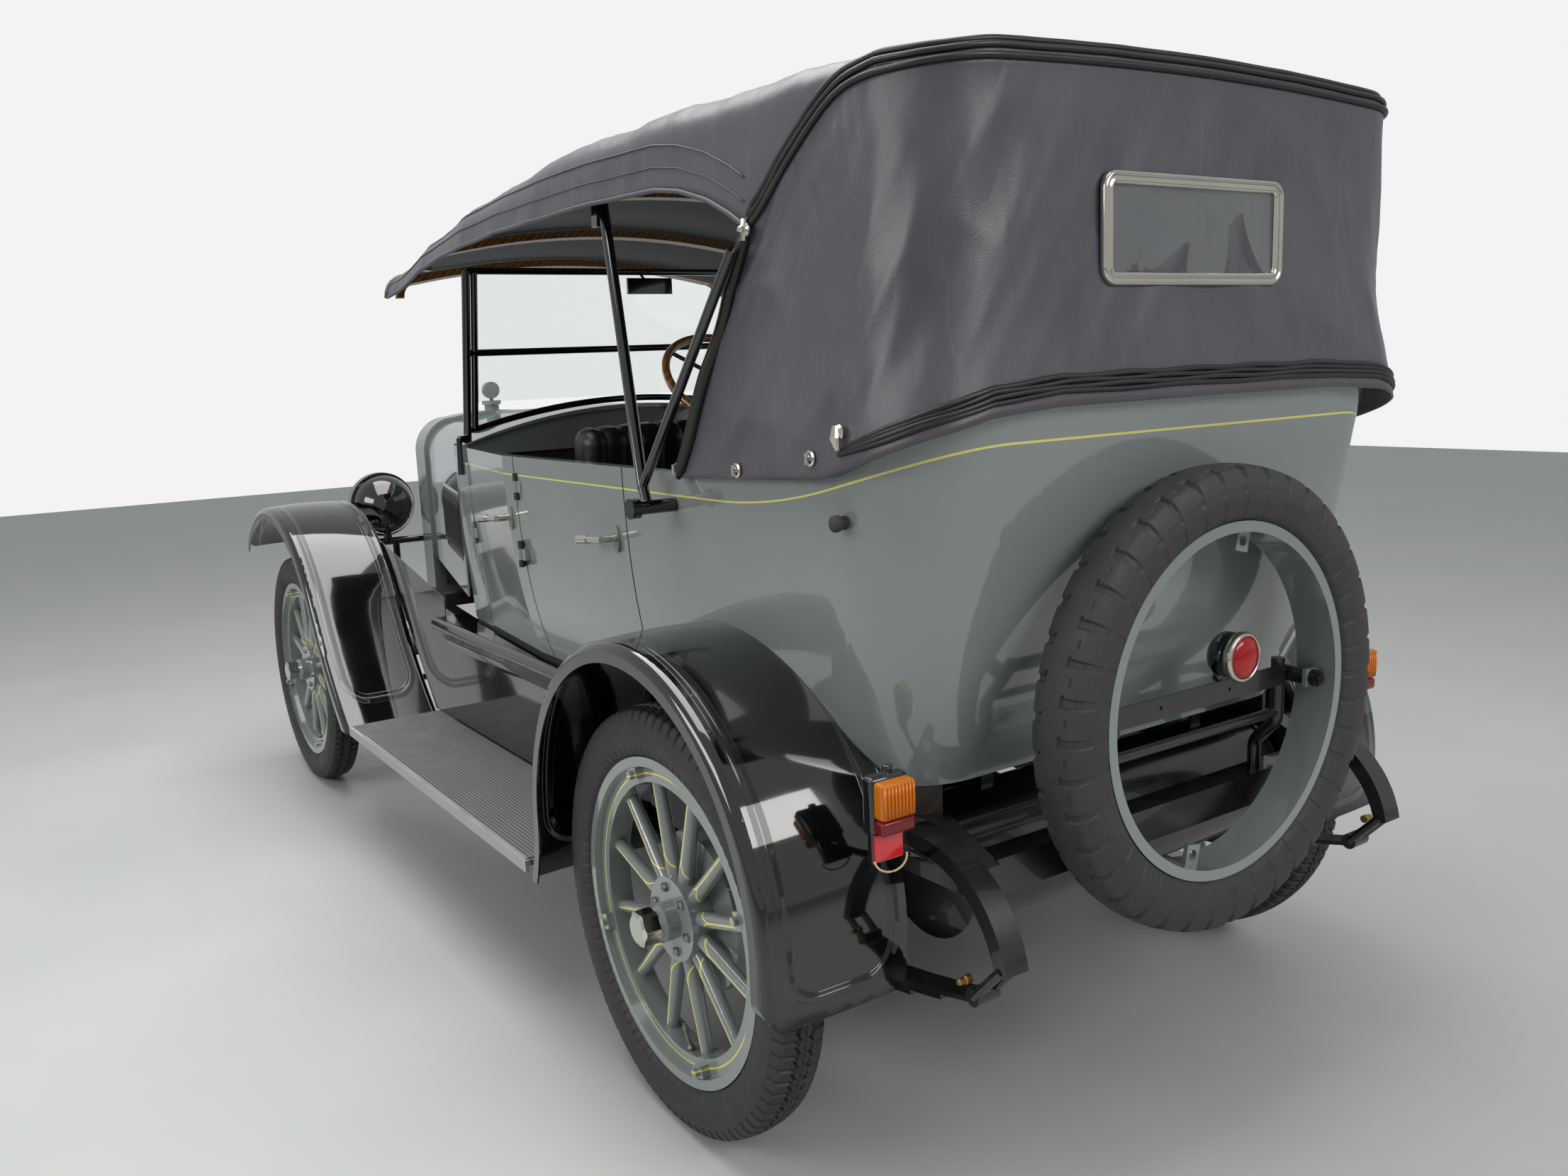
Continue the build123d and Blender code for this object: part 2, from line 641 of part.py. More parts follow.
def scroll(y):
    """Upper quarter leaf at the tail, curved down to the lower leaf's rear eye."""
    top = RAIL_TOP - 12
    with BuildSketch(Plane.XZ) as section:
        with BuildLine():
            ThreePointArc((at(-390), top), (at(-585), top - 40), (at(-650), top - 156))
            Line((at(-650), top - 156), (at(-626), top - 164))
            ThreePointArc((at(-626), top - 164), (at(-568), top - 62), (at(-390), top - 24))
            Line((at(-390), top - 24), (at(-390), top))
        make_face()
    leaf = Pos(0, y, 0) * extrude(section.sketch, amount=SPRING_WIDTH / 2, both=True)
    eye = (at(-REAR_SPRING_SPAN), REAR_SPRING_MID + REAR_SPRING_RISE)
    for sign in (-1, 1):
        plate_y = y + sign * (SPRING_WIDTH / 2 - 4)
        leaf += rod((eye[0], plate_y, eye[1]), (at(-636), plate_y, top - 150), 8)
    return leaf



def rear_springs():
    """Underslung lower springs with the upper scroll leaves that hang their tails."""
    found = []
    for side in (1, -1):
        y = side * REAR_SPRING_Y
        pack = leaf_pack(at(0), y, REAR_SPRING_MID, REAR_SPRING_SPAN, REAR_SPRING_RISE,
                         SPRING_LEAVES)
        found.append(pack + scroll(y))
    return found


def front_springs():
    """Springs over the front axle, with shackles up to the rails."""
    found = []
    for side in (1, -1):
        y = side * FRONT_RAIL_Y
        low = FRONT_SPRING_MID + SPRING_LEAVES * LEAF
        pack = leaf_pack(FRONT_AXLE_X, y, low, FRONT_SPRING_SPAN, FRONT_EYE_Z - low,
                         SPRING_LEAVES)
        found.append(pack)
    return found


# Axles and steering

AXLE_Z = TYRE_RADIUS
BEAM_WIDTH = 44.0
BEAM_HEIGHT = 46.0
BEAM_TOP = FRONT_SPRING_MID - RUN_FIT
KINGPIN_RADIUS = 12.0
FORK_RADIUS = 25.0
FORK_GAP = 62.0
TIE_ROD_Z = 330.0
SPINDLE_RADIUS = AXLE_BORE - RUN_FIT


def front_axle():
    """Beam under the springs, rising to the king pin eyes."""
    eye_in = KINGPIN_Y - 4
    outline = ((-eye_in, AXLE_Z + 22), (-470, AXLE_Z + 22), (-430, BEAM_TOP), (430, BEAM_TOP),
               (470, AXLE_Z + 22), (eye_in, AXLE_Z + 22), (eye_in, AXLE_Z - 22),
               (470, AXLE_Z - 22), (430, BEAM_TOP - BEAM_HEIGHT), (-430, BEAM_TOP - BEAM_HEIGHT),
               (-470, AXLE_Z - 22), (-eye_in, AXLE_Z - 22))
    face = make_face(Polyline(*[(0, y, z) for y, z in outline], close=True))
    beam = Pos(FRONT_AXLE_X - BEAM_WIDTH / 2, 0, 0) * extrude(face, amount=BEAM_WIDTH,
                                                             dir=(1, 0, 0))
    for side in (1, -1):
        centre = (FRONT_AXLE_X, side * KINGPIN_Y, AXLE_Z)
        beam += Pos(*centre) * Cylinder(FORK_RADIUS, FORK_GAP - 2 * RUN_FIT)
    for side in (1, -1):
        centre = (FRONT_AXLE_X, side * KINGPIN_Y, AXLE_Z)
        beam -= Pos(*centre) * Cylinder(KINGPIN_RADIUS + RUN_FIT, 200)
    return beam


def knuckle(side):
    """Steering knuckle: fork, king pin, stub axle and track-rod arm."""
    x, y = FRONT_AXLE_X, side * KINGPIN_Y
    inner_face = HALF_TRACK - 34.0 - 2.0
    body = None
    for level in (1, -1):
        z = AXLE_Z + level * (FORK_GAP / 2 + 9)
        lug = Pos(x, y, z) * Cylinder(FORK_RADIUS, 18)
        lug += block(x - 20, x + 20, y, side * (inner_face - 12), z - 9, z + 9)
        body = lug if body is None else body + lug
    body += Pos(x, y, AXLE_Z) * Cylinder(KINGPIN_RADIUS, FORK_GAP + 44)
    half = FORK_GAP / 2 + 18
    plate_y = side * (inner_face - 14)
    body += block(x - 24, x + 24, min(plate_y, side * inner_face), max(plate_y, side * inner_face),
                  AXLE_Z - half, AXLE_Z + half)
    body += rod((x, side * (inner_face - 8), AXLE_Z),
                (x, side * (HALF_TRACK + HUB_REACH - 4), AXLE_Z), SPINDLE_RADIUS)
    arm_z = AXLE_Z - FORK_GAP / 2 - 9
    body += block(x - ARM_LENGTH, x - 12, y - 11, y + 11, arm_z - 9, arm_z + 9)
    body += Pos(x - ARM_LENGTH, y, arm_z) * Cylinder(17, 18)
    body += rod((x - ARM_LENGTH, y, TIE_ROD_Z - 12), (x - ARM_LENGTH, y, arm_z), 8)
    return body


def tie_rod():
    """Track rod between the two arms, with an eye at each end."""
    x = FRONT_AXLE_X - ARM_LENGTH
    bar = rod((x, -KINGPIN_Y + 14, TIE_ROD_Z), (x, KINGPIN_Y - 14, TIE_ROD_Z), 11)
    for side in (1, -1):
        bar += Pos(x, side * KINGPIN_Y, TIE_ROD_Z) * Cylinder(18, 24)
    for side in (1, -1):
        bar -= Pos(x, side * KINGPIN_Y, TIE_ROD_Z) * Cylinder(8 + 1.0, 60)
    return bar


REAR_TUBE_RADIUS = 38.0
DIFFERENTIAL_RADIUS = 130.0
TORQUE_TUBE_FRONT = 1270.0


def rear_axle():
    """Axle tubes, differential case, torque tube, drum plates and the shafts in the wheels."""
    x = at(0)
    plate_y = HALF_TRACK - 24 - DRUM_WIDTH - 8
    body = rod((x, -plate_y, AXLE_Z), (x, plate_y, AXLE_Z), REAR_TUBE_RADIUS)
    case = Pos(x, 0, AXLE_Z) * Sphere(DIFFERENTIAL_RADIUS)
    body += case & block(x - 140, x + 140, -82, 82, 200, 600)
    body += rod((x + 60, 0, AXLE_Z), (at(TORQUE_TUBE_FRONT), 0, AXLE_Z + 82), 36)
    for side in (1, -1):
        body += rod((x, side * (plate_y - 8), AXLE_Z), (x, side * plate_y, AXLE_Z),
                    DRUM_RADIUS - 6)
        body += rod((x, side * (plate_y - 10), AXLE_Z),
                    (x, side * (HALF_TRACK + HUB_REACH - 4), AXLE_Z), SPINDLE_RADIUS)
        y = side * REAR_SPRING_Y
        body += block(x - 34, x + 34, y - SPRING_WIDTH / 2 - 6, y + SPRING_WIDTH / 2 + 6,
                      REAR_SPRING_MID + 2 * RUN_FIT, AXLE_Z - 20)
    return body


def brake_drum():
    """Drum behind a rear wheel, about the wheel's own hub."""
    return ring(((AXLE_BORE, -24), (AXLE_BORE, -36), (DRUM_RADIUS - 5, -36),
                 (DRUM_RADIUS - 5, -24 - DRUM_WIDTH), (DRUM_RADIUS, -24 - DRUM_WIDTH),
                 (DRUM_RADIUS, -24)))


# Engine, exhaust, tank

ENGINE_BACK = 1760.0
ENGINE_LENGTH = 620.0
ENGINE_HALF_WIDTH = 135.0


def engine():
    """Plain engine block with the gearbox and clutch housing behind it."""
    body = block(at(ENGINE_BACK), at(ENGINE_BACK + ENGINE_LENGTH), -ENGINE_HALF_WIDTH,
                 ENGINE_HALF_WIDTH, 470, 1040)
    body += rod((at(ENGINE_BACK - 185), 0, 560), (at(ENGINE_BACK + 10), 0, 560), 126)
    body += block(at(1290), at(ENGINE_BACK - 180), -90, 90, 440, 625)
    body += block(at(ENGINE_BACK + 320), at(ENGINE_BACK + 370), -(FRONT_RAIL_Y + 18),
                  FRONT_RAIL_Y + 18, RAIL_TOP + RUN_FIT, RAIL_TOP + 40)
    return body


def exhaust():
    """Manifold, down pipe, silencer and tail pipe on the right-hand side."""
    y = -250.0
    pipe = tube_along(((at(2050), -ENGINE_HALF_WIDTH - RUN_FIT, 900), (at(2050), -205, 900),
                       (at(1990), -218, 600), (at(1800), y, 470), (at(1000), y, 440)),
                      (30, 60, 70), 21)
    pipe += rod((at(1010), y, 440), (at(480), y, 440), 62)
    pipe += rod((at(490), y, 440), (at(300), y, 440), 19)
    return pipe


TANK_X = 345.0
TANK_Z = 520.0
TANK_RADIUS = 118.0
TANK_HALF = 405.0


def fuel_tank():
    """Round tank across the tail, its end seams, filler neck and hanger straps."""
    x = at(-TANK_X)
    tank = rod((x, -TANK_HALF, TANK_Z), (x, TANK_HALF, TANK_Z), TANK_RADIUS)
    for side in (1, -1):
        tank += rod((x, side * (TANK_HALF - 6), TANK_Z), (x, side * (TANK_HALF + 4), TANK_Z),
                    TANK_RADIUS + 4)
    for side in (1, -1):
        y = side * 280
        tank += block(x - 14, x + 14, y - 14, y + 14, TANK_Z + TANK_RADIUS - 4,
                      BODY_FLOOR + 40 - RUN_FIT)
    return tank


# Floor, scuttle and dash

def floor_pieces():
    """Floor boards with sills, raised rear pan, seat boxes and the posts between the doors."""
    base = BODY_FLOOR - FLOOR_THICKNESS
    with BuildSketch(Plane.XY.offset(base)) as plan:
        row = BODY_SECTIONS[0]
        add(body_outline(0, row[1], row[2], row[3], row[4], 4.0))
    board = extrude(plan.sketch, amount=FLOOR_THICKNESS)
    board = Pos(0, 0, 0) * board
    board = board & block(at(-700), at(COWL_FRONT), -900, 900, base, BODY_FLOOR)
    well = block(at(-700), at(-150), -REAR_RAIL_Y + 22, REAR_RAIL_Y - 22, base - 10,
                 BODY_FLOOR + 10)
    board -= well
    inner = body_solid(BODY_WALL + RUN_FIT, 0.0)
    behind = body_solid(BODY_WALL + 16.0, 0.0)
    pan = inner & block(at(-700), at(110), -900, 900, BODY_FLOOR - 1, BODY_FLOOR + 70)
    pan -= block(at(-700), at(-150), -REAR_RAIL_Y + 22, REAR_RAIL_Y - 22, 0, BODY_FLOOR + 40)
    board += pan
    seat_box = behind & block(at(846), at(1200), -900, 900, BODY_FLOOR - 1, BODY_FLOOR + 70)
    board += seat_box
    post_outer = body_solid(BODY_WALL + 4.0, 0.0)
    post_inner = body_solid(BODY_WALL + 32.0, 20.0)
    post = (post_outer - post_inner) & block(at(DOOR_SPLIT - 30), at(DOOR_SPLIT + 30), -900, 900,
                                             BODY_FLOOR - 1, WAIST - 14)
    board += post
    for side in (1, -1):
        board += post_knuckles(DOOR_SPLIT, side, BODY_WALL + 10.0)
    return board


def scuttle_arch(x, half, inset):
    """Arch of the scuttle at one station."""
    low = WAIST + SHUT_GAP
    return make_face([
        Line((x, -half + inset, low - 30), (x, half - inset, low - 30)),
        Line((x, half - inset, low - 30), (x, half - inset, low)),
        ThreePointArc((x, half - inset, low), (x, 0, WAIST + SCUTTLE_CROWN - inset),
                      (x, -half + inset, low)),
        Line((x, -half + inset, low), (x, -half + inset, low - 30)),
    ])


COLUMN_ANGLE = 42.0
COLUMN_Y = -205.0
STEER_HUB = (1210.0, 1333.0)


def column_point(distance):
    """A point on the steering column's axis, measured down from the wheel's hub."""
    a = math.radians(COLUMN_ANGLE)
    return (at(STEER_HUB[0]) + distance * math.sin(a),
            COLUMN_Y, STEER_HUB[1] - distance * math.cos(a))


def cowl():
    """Cowl sides, the scuttle over them, the dash board and the bonnet's hinge rod."""
    sides = body_shell & block(at(FRONT_DOOR_FRONT + SHUT_GAP / 2), at(COWL_FRONT), -900, 900,
                               600, 1500)
    x0, x1 = at(SCUTTLE_BACK), at(COWL_FRONT)
    h0 = half_width_at(SCUTTLE_BACK, WAIST)
    h1 = half_width_at(COWL_FRONT, WAIST)
    arch = loft([scuttle_arch(x0, h0, 0), scuttle_arch(x1, h1, 0)])
    hollow = loft([scuttle_arch(x0 - 1, h0, SCUTTLE_WALL),
                   scuttle_arch(x1 + 1, h1, SCUTTLE_WALL)])
    low = WAIST + SHUT_GAP
    hollow += block(x0 - 10, x1 + 10, -h0 + SCUTTLE_WALL, h0 - SCUTTLE_WALL, low - 60, low)
    over = arch - hollow
    dash = (body_outer & block(x1 - DASH_THICKNESS, x1, -900, 900, BODY_FLOOR, WAIST - 20))
    dash += arch & block(x1 - DASH_THICKNESS, x1, -900, 900, WAIST - 25, 1500)
    panel = arch & block(x0 + 8, x0 + 20, -900, 900, 1100, 1500)
    shell = sides + over + dash + panel
    shell += rod((x1 - 8, 0, BONNET_REAR[2]),
                 (at(BONNET_FRONT) - RUN_FIT, 0, BONNET_NOSE[2]), BONNET_ROD)
    hole = rod(column_point(60), column_point(900), 26)
    for side in (1, -1):
        shell += post_knuckles(FRONT_DOOR_FRONT, side, 16.0)
        x = at(FRONT_DOOR_FRONT)
        for height in HINGE_HEIGHTS:
            skin = half_width_at(FRONT_DOOR_FRONT, height)
            y0, y1 = sorted((side * (skin - 14), side * (skin - 2)))
            for low, high in ((-2.2, -1.0), (1.0, 2.2)):
                shell += block(x, x + 14, y0, y1, height + low * HINGE_HALF,
                               height + high * HINGE_HALF)
    return shell - hole


# Bonnet

def bonnet_face(x, row, inset, side):
    """Half section of the bonnet: side, rounded shoulder and crowned top to the centre gap."""
    half, side_top, centre = row
    half, centre = half - inset, centre - inset
    gap = BONNET_ROD + RUN_FIT
    shoulder = min(130.0, half * 0.42)
    low = BONNET_BOTTOM - (10.0 if inset else 0.0)
    z_edge = centre - 34 * half / 491.0
    mid = (half - shoulder * (1 - math.sqrt(0.5)), z_edge - shoulder * (1 - math.sqrt(0.5)))
    s = side
    return make_face([
        Line((x, s * gap, low), (x, s * half, low)),
        Line((x, s * half, low), (x, s * half, z_edge - shoulder)),
        ThreePointArc((x, s * half, z_edge - shoulder), (x, s * mid[0], mid[1]),
                      (x, s * (half - shoulder), z_edge)),
        Line((x, s * (half - shoulder), z_edge), (x, s * gap, centre)),
        Line((x, s * gap, centre), (x, s * gap, low)),
    ])


bonnet_x0 = at(COWL_FRONT) + BONNET_GAP
bonnet_x1 = at(BONNET_FRONT) - BONNET_GAP


def bonnet_half(side):
    """One half of the bonnet, a thin folded sheet."""
    outer = loft([bonnet_face(bonnet_x0, BONNET_REAR, 0.0, side),
                  bonnet_face(bonnet_x1, BONNET_NOSE, 0.0, side)])
    inner = loft([bonnet_face(bonnet_x0, BONNET_REAR, BONNET_SHEET, side),
                  bonnet_face(bonnet_x1, BONNET_NOSE, BONNET_SHEET, side)])
    inner = inner + Pos(1, 0, 0) * inner + Pos(-1, 0, 0) * inner
    inner += Pos(0, -side * 20, 0) * inner
    return outer - inner



def radiator():
    """Radiator shell with its rounded opening, core, filler cap and round gauge on top."""
    x0, x1 = at(BONNET_FRONT), at(BONNET_FRONT) + RADIATOR_DEPTH
    row = (BONNET_NOSE[0] + RADIATOR_LIP, BONNET_NOSE[1], BONNET_NOSE[2] + RADIATOR_LIP)
    half, _, centre = row
    shoulder = 118.0
    z_edge = centre - 16
    drop = RADIATOR_BOTTOM

    def outline(x, inset):
        h, c, r = half - inset, z_edge - inset, shoulder - inset * 0.5
        k = r * (1 - math.sqrt(0.5))
        low = drop + inset
        return make_face([
            Line((x, -h, low), (x, h, low)),
            Line((x, h, low), (x, h, c - r)),
            ThreePointArc((x, h, c - r), (x, h - k, c - k), (x, h - r, c)),
            ThreePointArc((x, h - r, c), (x, 0, centre - inset), (x, -h + r, c)),
            ThreePointArc((x, -h + r, c), (x, -h + k, c - k), (x, -h, c - r)),
            Line((x, -h, c - r), (x, -h, low)),
        ])

    shell = extrude(outline(x0, 0.0), amount=x1 - x0, dir=(1, 0, 0))
    shell -= extrude(outline(x0 - 1, RADIATOR_RIM), amount=x1 - x0 + 2, dir=(1, 0, 0))
    core = extrude(outline(x0 + 14, RADIATOR_RIM - 4), amount=x1 - x0 - 26, dir=(1, 0, 0))
    x_mid = (x0 + x1) / 2
    neck = rod((x_mid, 0, centre - 8), (x_mid, 0, centre + 22), 26)
    neck += rod((x_mid, 0, centre + 20), (x_mid, 0, centre + 34), 34)
    dial_z = centre + 72
    neck += rod((x_mid, 0, centre + 30), (x_mid, 0, dial_z - 22), 7)
    neck += rod((x_mid - 11, 0, dial_z), (x_mid + 11, 0, dial_z), 30)
    seat = rail_top_at(x0 + 20) + RUN_FIT
    feet = block(x0 + 20, x1 - 20, -(FRONT_RAIL_Y + 10), FRONT_RAIL_Y + 10, seat, seat + 12)
    return shell + core + neck + feet


def splash_apron():
    """Panel from the running board up to the body, with a rolled shoulder along its top."""
    base, top = BOARD_TOP + RUN_FIT, BODY_FLOOR - 8
    t = FENDER_SHEET
    y0 = BOARD_INNER
    x0, x1 = at(452), at(1700) - RUN_FIT
    outer = [Line((x0, y0, base), (x0, y0, top - 95)),
             ThreePointArc((x0, y0, top - 95), (x0, y0 + 10, top - 55), (x0, y0 + 34, top - 34)),
             ThreePointArc((x0, y0 + 34, top - 34), (x0, y0 + 40, top - 8), (x0, y0 + 20, top)),
             Line((x0, y0 + 20, top), (x0, y0 - 90, top)),
             Line((x0, y0 - 90, top), (x0, y0 - 90, top - t)),
             Line((x0, y0 - 90, top - t), (x0, y0 + 18, top - t)),
             ThreePointArc((x0, y0 + 18, top - t), (x0, y0 + 36, top - 10),
                           (x0, y0 + 31, top - 31)),
             ThreePointArc((x0, y0 + 31, top - 31), (x0, y0 + 6, top - 53),
                           (x0, y0 - t, top - 95)),
             Line((x0, y0 - t, top - 95), (x0, y0 - t, base)),
             Line((x0, y0 - t, base), (x0, y0, base))]
    panel = extrude(make_face(outer), amount=x1 - x0, dir=(1, 0, 0))
    row = BODY_SECTIONS[0]
    sill = body_outline(BODY_FLOOR - FLOOR_THICKNESS - 10, row[1], row[2], row[3], row[4],
                        4.0 - RUN_FIT)
    panel = panel - extrude(sill, amount=FLOOR_THICKNESS + 20)
    return panel - block(at(COWL_FRONT) - 1, at(3000), 0, y0 - 60, 0, 2000)


def running_board():
    """Board with a turned-down edge, carried by two brackets from the rail."""
    x0, x1 = at(500), at(1834)
    board = block(x0, x1, BOARD_INNER - 12, BOARD_OUTER, BOARD_TOP - 12, BOARD_TOP)
    board += block(x0, x1, BOARD_OUTER - 8, BOARD_OUTER, BOARD_TOP - BOARD_THICKNESS, BOARD_TOP)
    board += block(x0 + 2 * MAT_EDGE, at(1700) - 2 * MAT_EDGE, BOARD_INNER + MAT_EDGE,
                   BOARD_OUTER - MAT_EDGE, BOARD_TOP, BOARD_TOP + MAT_THICKNESS)
    for station in (760.0, 1420.0):
        x = at(station)
        board += block(x - 20, x + 20, REAR_RAIL_Y - 10, BOARD_OUTER - 40, BOARD_TOP - 22,
                       BOARD_TOP - 10)
        board += block(x - 20, x + 20, REAR_RAIL_Y - 10, REAR_RAIL_Y + 10, BOARD_TOP - 22,
                       RAIL_BOTTOM - RUN_FIT)
    return board


# Seats

SEAT_TOP = 905.0


def cushion(x0, x1, y0, y1, z0, z1, edge):
    """A soft seat cushion with rounded edges."""
    body = block(x0, x1, y0, y1, z0, z1)
    return fillet(body.edges(), edge)


def seat_cushions():
    """Front and rear seat cushions, each a full-width bench."""
    z0 = BODY_FLOOR + 70 + RUN_FIT
    return [cushion(at(924), at(1240), -470, 470, z0, SEAT_TOP, 35),
            cushion(at(-288), at(100), -500, 500, z0, SEAT_TOP + 10, 35)]


def seat_backs():
    """Seat backs that lean rearwards on their wooden frames."""
    found = []
    for station, width, top in ((838.0, 466.0, 1250.0), (-375.0, 425.0, 1235.0)):
        height = top - (BODY_FLOOR + 70) - 2
        back = cushion(-50, 50, -width, width, 0, height, 38)
        z0 = BODY_FLOOR + 72
        found.append(Pos(at(station) + 30, 0, z0) * Rot(0, -7, 0) * back)
    return found


# Windscreen

def screen_point(height, y):
    """A point in the windscreen's plane."""
    share = (height - (WAIST + 36)) / (SCREEN_TOP - (WAIST + 36))
    return (at(SCREEN_BASE - SCREEN_LEAN * share), y, height)


SCREEN_LOW = WAIST + 44.0
SCREEN_SPLIT = 1440.0
SCREEN_BAR = 9.0


def screen_sill(y):
    """Height of the scuttle's arch under the windscreen."""
    h = half_width_at(SCUTTLE_BACK, WAIST)
    rise = SCUTTLE_CROWN - SHUT_GAP
    r = (h * h + rise * rise) / (2 * rise)
    return WAIST + SHUT_GAP + rise - r + math.sqrt(r * r - y * y)


def windscreen_frame():
    """Two leaning posts on cowl brackets, with a top, a split and an arched bottom rail."""
    w = SCREEN_HALF_WIDTH
    posts = None
    for side in (1, -1):
        post_y = side * (w + 22)
        post = rod(screen_point(WAIST + 10, post_y), screen_point(SCREEN_TOP, post_y), 11)
        x = screen_point(WAIST + 30, 0)[0]
        skin = side * (half_width_at(SCREEN_BASE, WAIST) + 5)
        post += rod((x + 8, skin, WAIST - 76), (x, skin, WAIST + 24), 8)
        post += block(x - 12, x + 12, min(post_y, skin), max(post_y, skin), WAIST + 12,
                      WAIST + 30)
        posts = post if posts is None else posts + post
    frame = posts
    for height in (SCREEN_TOP, SCREEN_SPLIT):
        frame += rod(screen_point(height, -w - 22), screen_point(height, w + 22), SCREEN_BAR)
    for side in (1, -1):
        frame += rod(screen_point(SCREEN_LOW, side * w), screen_point(SCREEN_TOP, side * w),
                     SCREEN_BAR)
    ends = [screen_point(SCREEN_LOW, side * w) for side in (1, -1)]
    crown = screen_point(screen_sill(0) + 16, 0)
    arch = Edge.make_three_point_arc(ends[0], crown, ends[1])
    frame += sweep(Plane(origin=arch @ 0, z_dir=arch % 0) * Circle(SCREEN_BAR), path=arch)
    for side in (1, -1):
        frame += rod(screen_point(SCREEN_LOW, side * w), screen_point(SCREEN_LOW, side * (w + 22)),
                     SCREEN_BAR)
    frame += rod((at(SCREEN_BASE), 0, screen_sill(0) - 3), crown, 8)
    mirror_top = screen_point(SCREEN_TOP, -10)
    x, _, z = mirror_top
    frame += rod(mirror_top, (x - 60, -10, z - 42), 4)
    frame += block(x - 66, x - 58, -80, 60, z - 66, z - 22)
    x0, x1 = at(SCUTTLE_BACK), at(COWL_FRONT)
    clear = loft([scuttle_arch(x0 - 1, half_width_at(SCUTTLE_BACK, WAIST), -RUN_FIT),
                  scuttle_arch(x1, half_width_at(COWL_FRONT, WAIST), -RUN_FIT)])
    clear += body_solid(-RUN_FIT) & block(at(-900), at(2000), -900, 900, 600, WAIST + 1)
    rest = (frame - clear).solids()
    return max(rest, key=lambda solid: solid.volume)


def windscreen_glass():
    """Upper and lower panes."""
    w = SCREEN_HALF_WIDTH - SCREEN_BAR - RUN_FIT
    panes = []
    low_gap = SCREEN_BAR + RUN_FIT
    t = 5.0
    for low, high in ((SCREEN_SPLIT + low_gap, SCREEN_TOP - low_gap),
                      (screen_sill(0) + 16 + low_gap + 1, SCREEN_SPLIT - low_gap)):
        a, b = screen_point(low, 0), screen_point(high, 0)
        face = make_face(Polyline((a[0] - t / 2, 0, a[2]), (a[0] + t / 2, 0, a[2]),
                                  (b[0] + t / 2, 0, b[2]), (b[0] - t / 2, 0, b[2]), close=True))
        panes.append(Pos(0, -w, 0) * extrude(face, amount=2 * w, dir=(0, 1, 0)))
    return panes


# Hood

def hood_arch(x, half, edge, centre, inset):
    """Arch of the hood at one station: upright sides, rounded edges and a crowned top."""
    h, e, c = half - inset, edge - inset, centre - inset
    r = 74.0 - inset
    k = r * (1 - math.sqrt(0.5))
    low = 1100.0
    lean = HOOD_LEAN
    return make_face([
        Line((x, -h - lean, low), (x, h + lean, low)),
        Line((x, h + lean, low), (x, h, e - r)),
        ThreePointArc((x, h, e - r), (x, h - k, e - k), (x, h - r, e)),
        ThreePointArc((x, h - r, e), (x, 0, c), (x, -h + r, e)),
        ThreePointArc((x, -h + r, e), (x, -h + k, e - k), (x, -h, e - r)),
        Line((x, -h, e - r), (x, -h - lean, low)),
    ])


HOOD_TAIL = 606.0
HOOD_TAIL_TOP = 578.0
HOOD_CORNER = 130.0
HOOD_SIDE = 621.0
WINDOW_HALF = 217.0
WINDOW_Y = 26.0
WINDOW_LOW = 1480.0
WINDOW_HIGH = 1640.0


def hood_form(inset):
    """Loft of the hood's arches, cut to its rounded plan at the tail."""
    faces = [hood_arch(at(x), half, edge, centre, inset) for x, half, edge, centre
             in HOOD_SECTIONS]
    form = loft(faces)

    def plan(z, tail):
        back, w, r = at(-tail) + inset, HOOD_SIDE - inset, HOOD_CORNER - inset
        k = r * (1 - math.sqrt(0.5))
        front = at(1900)
        return make_face([
            Line((front, -w, z), (front, w, z)), Line((front, w, z), (back + r, w, z)),
            ThreePointArc((back + r, w, z), (back + k, w - k, z), (back, w - r, z)),
            Line((back, w - r, z), (back, -w + r, z)),
            ThreePointArc((back, -w + r, z), (back + k, -w + k, z), (back + r, -w, z)),
            Line((back + r, -w, z), (front, -w, z)),
        ])

    return form & loft([plan(1050.0, HOOD_TAIL), plan(1950.0, HOOD_TAIL_TOP)])


def hood_cover():
    """Folding hood raised: a shell open below, at the front and at the doors."""
    shell = hood_form(0.0) - hood_form(HOOD_SHEET)
    shell -= block(at(-560), at(1900), -560, 560, 1000, 1600)
    hem_front = [(at(1900), 1000), (at(1900), 1662), (at(1532), 1668), (at(886), 1697),
                 (at(131), 1690), (at(-120), 1610), (at(-170), 1583), (at(78), 1186), (at(78), 1000)]
    shell -= profile_y(hem_front, -900, 900)
    lower = block(at(-900), at(2000), -900, 900, 600, 2000) - belt_cutter(-HOOD_OVERLAP)
    shell -= lower
    shell -= body_solid(-RUN_FIT)
    tail = block(at(-700), at(-540), WINDOW_Y - WINDOW_HALF, WINDOW_Y + WINDOW_HALF, WINDOW_LOW,
                 WINDOW_HIGH)
    return shell - tail


def rear_window():
    """Bright frame with its pane, let into the hood's tail."""
    z_mid = (WINDOW_LOW + WINDOW_HIGH) / 2
    share = (z_mid - 1050.0) / 900.0
    x = at(-(HOOD_TAIL + (HOOD_TAIL_TOP - HOOD_TAIL) * share))
    half, tall = WINDOW_HALF - RUN_FIT, (WINDOW_HIGH - WINDOW_LOW) / 2 - RUN_FIT
    frame = block(x - 8, x + 18, -half, half, z_mid - tall, z_mid + tall)
    frame = fillet(frame.edges().filter_by(Axis.X), 22)
    inner = block(x - 20, x + 30, -half + 18, half - 18, z_mid - tall + 18, z_mid + tall - 18)
    inner = fillet(inner.edges().filter_by(Axis.X), 14)
    pane = block(x + 2, x + 6, -half + 12, half - 12, z_mid - tall + 12, z_mid + tall - 12)
    return Pos(0, WINDOW_Y, 0) * (frame - inner + pane)


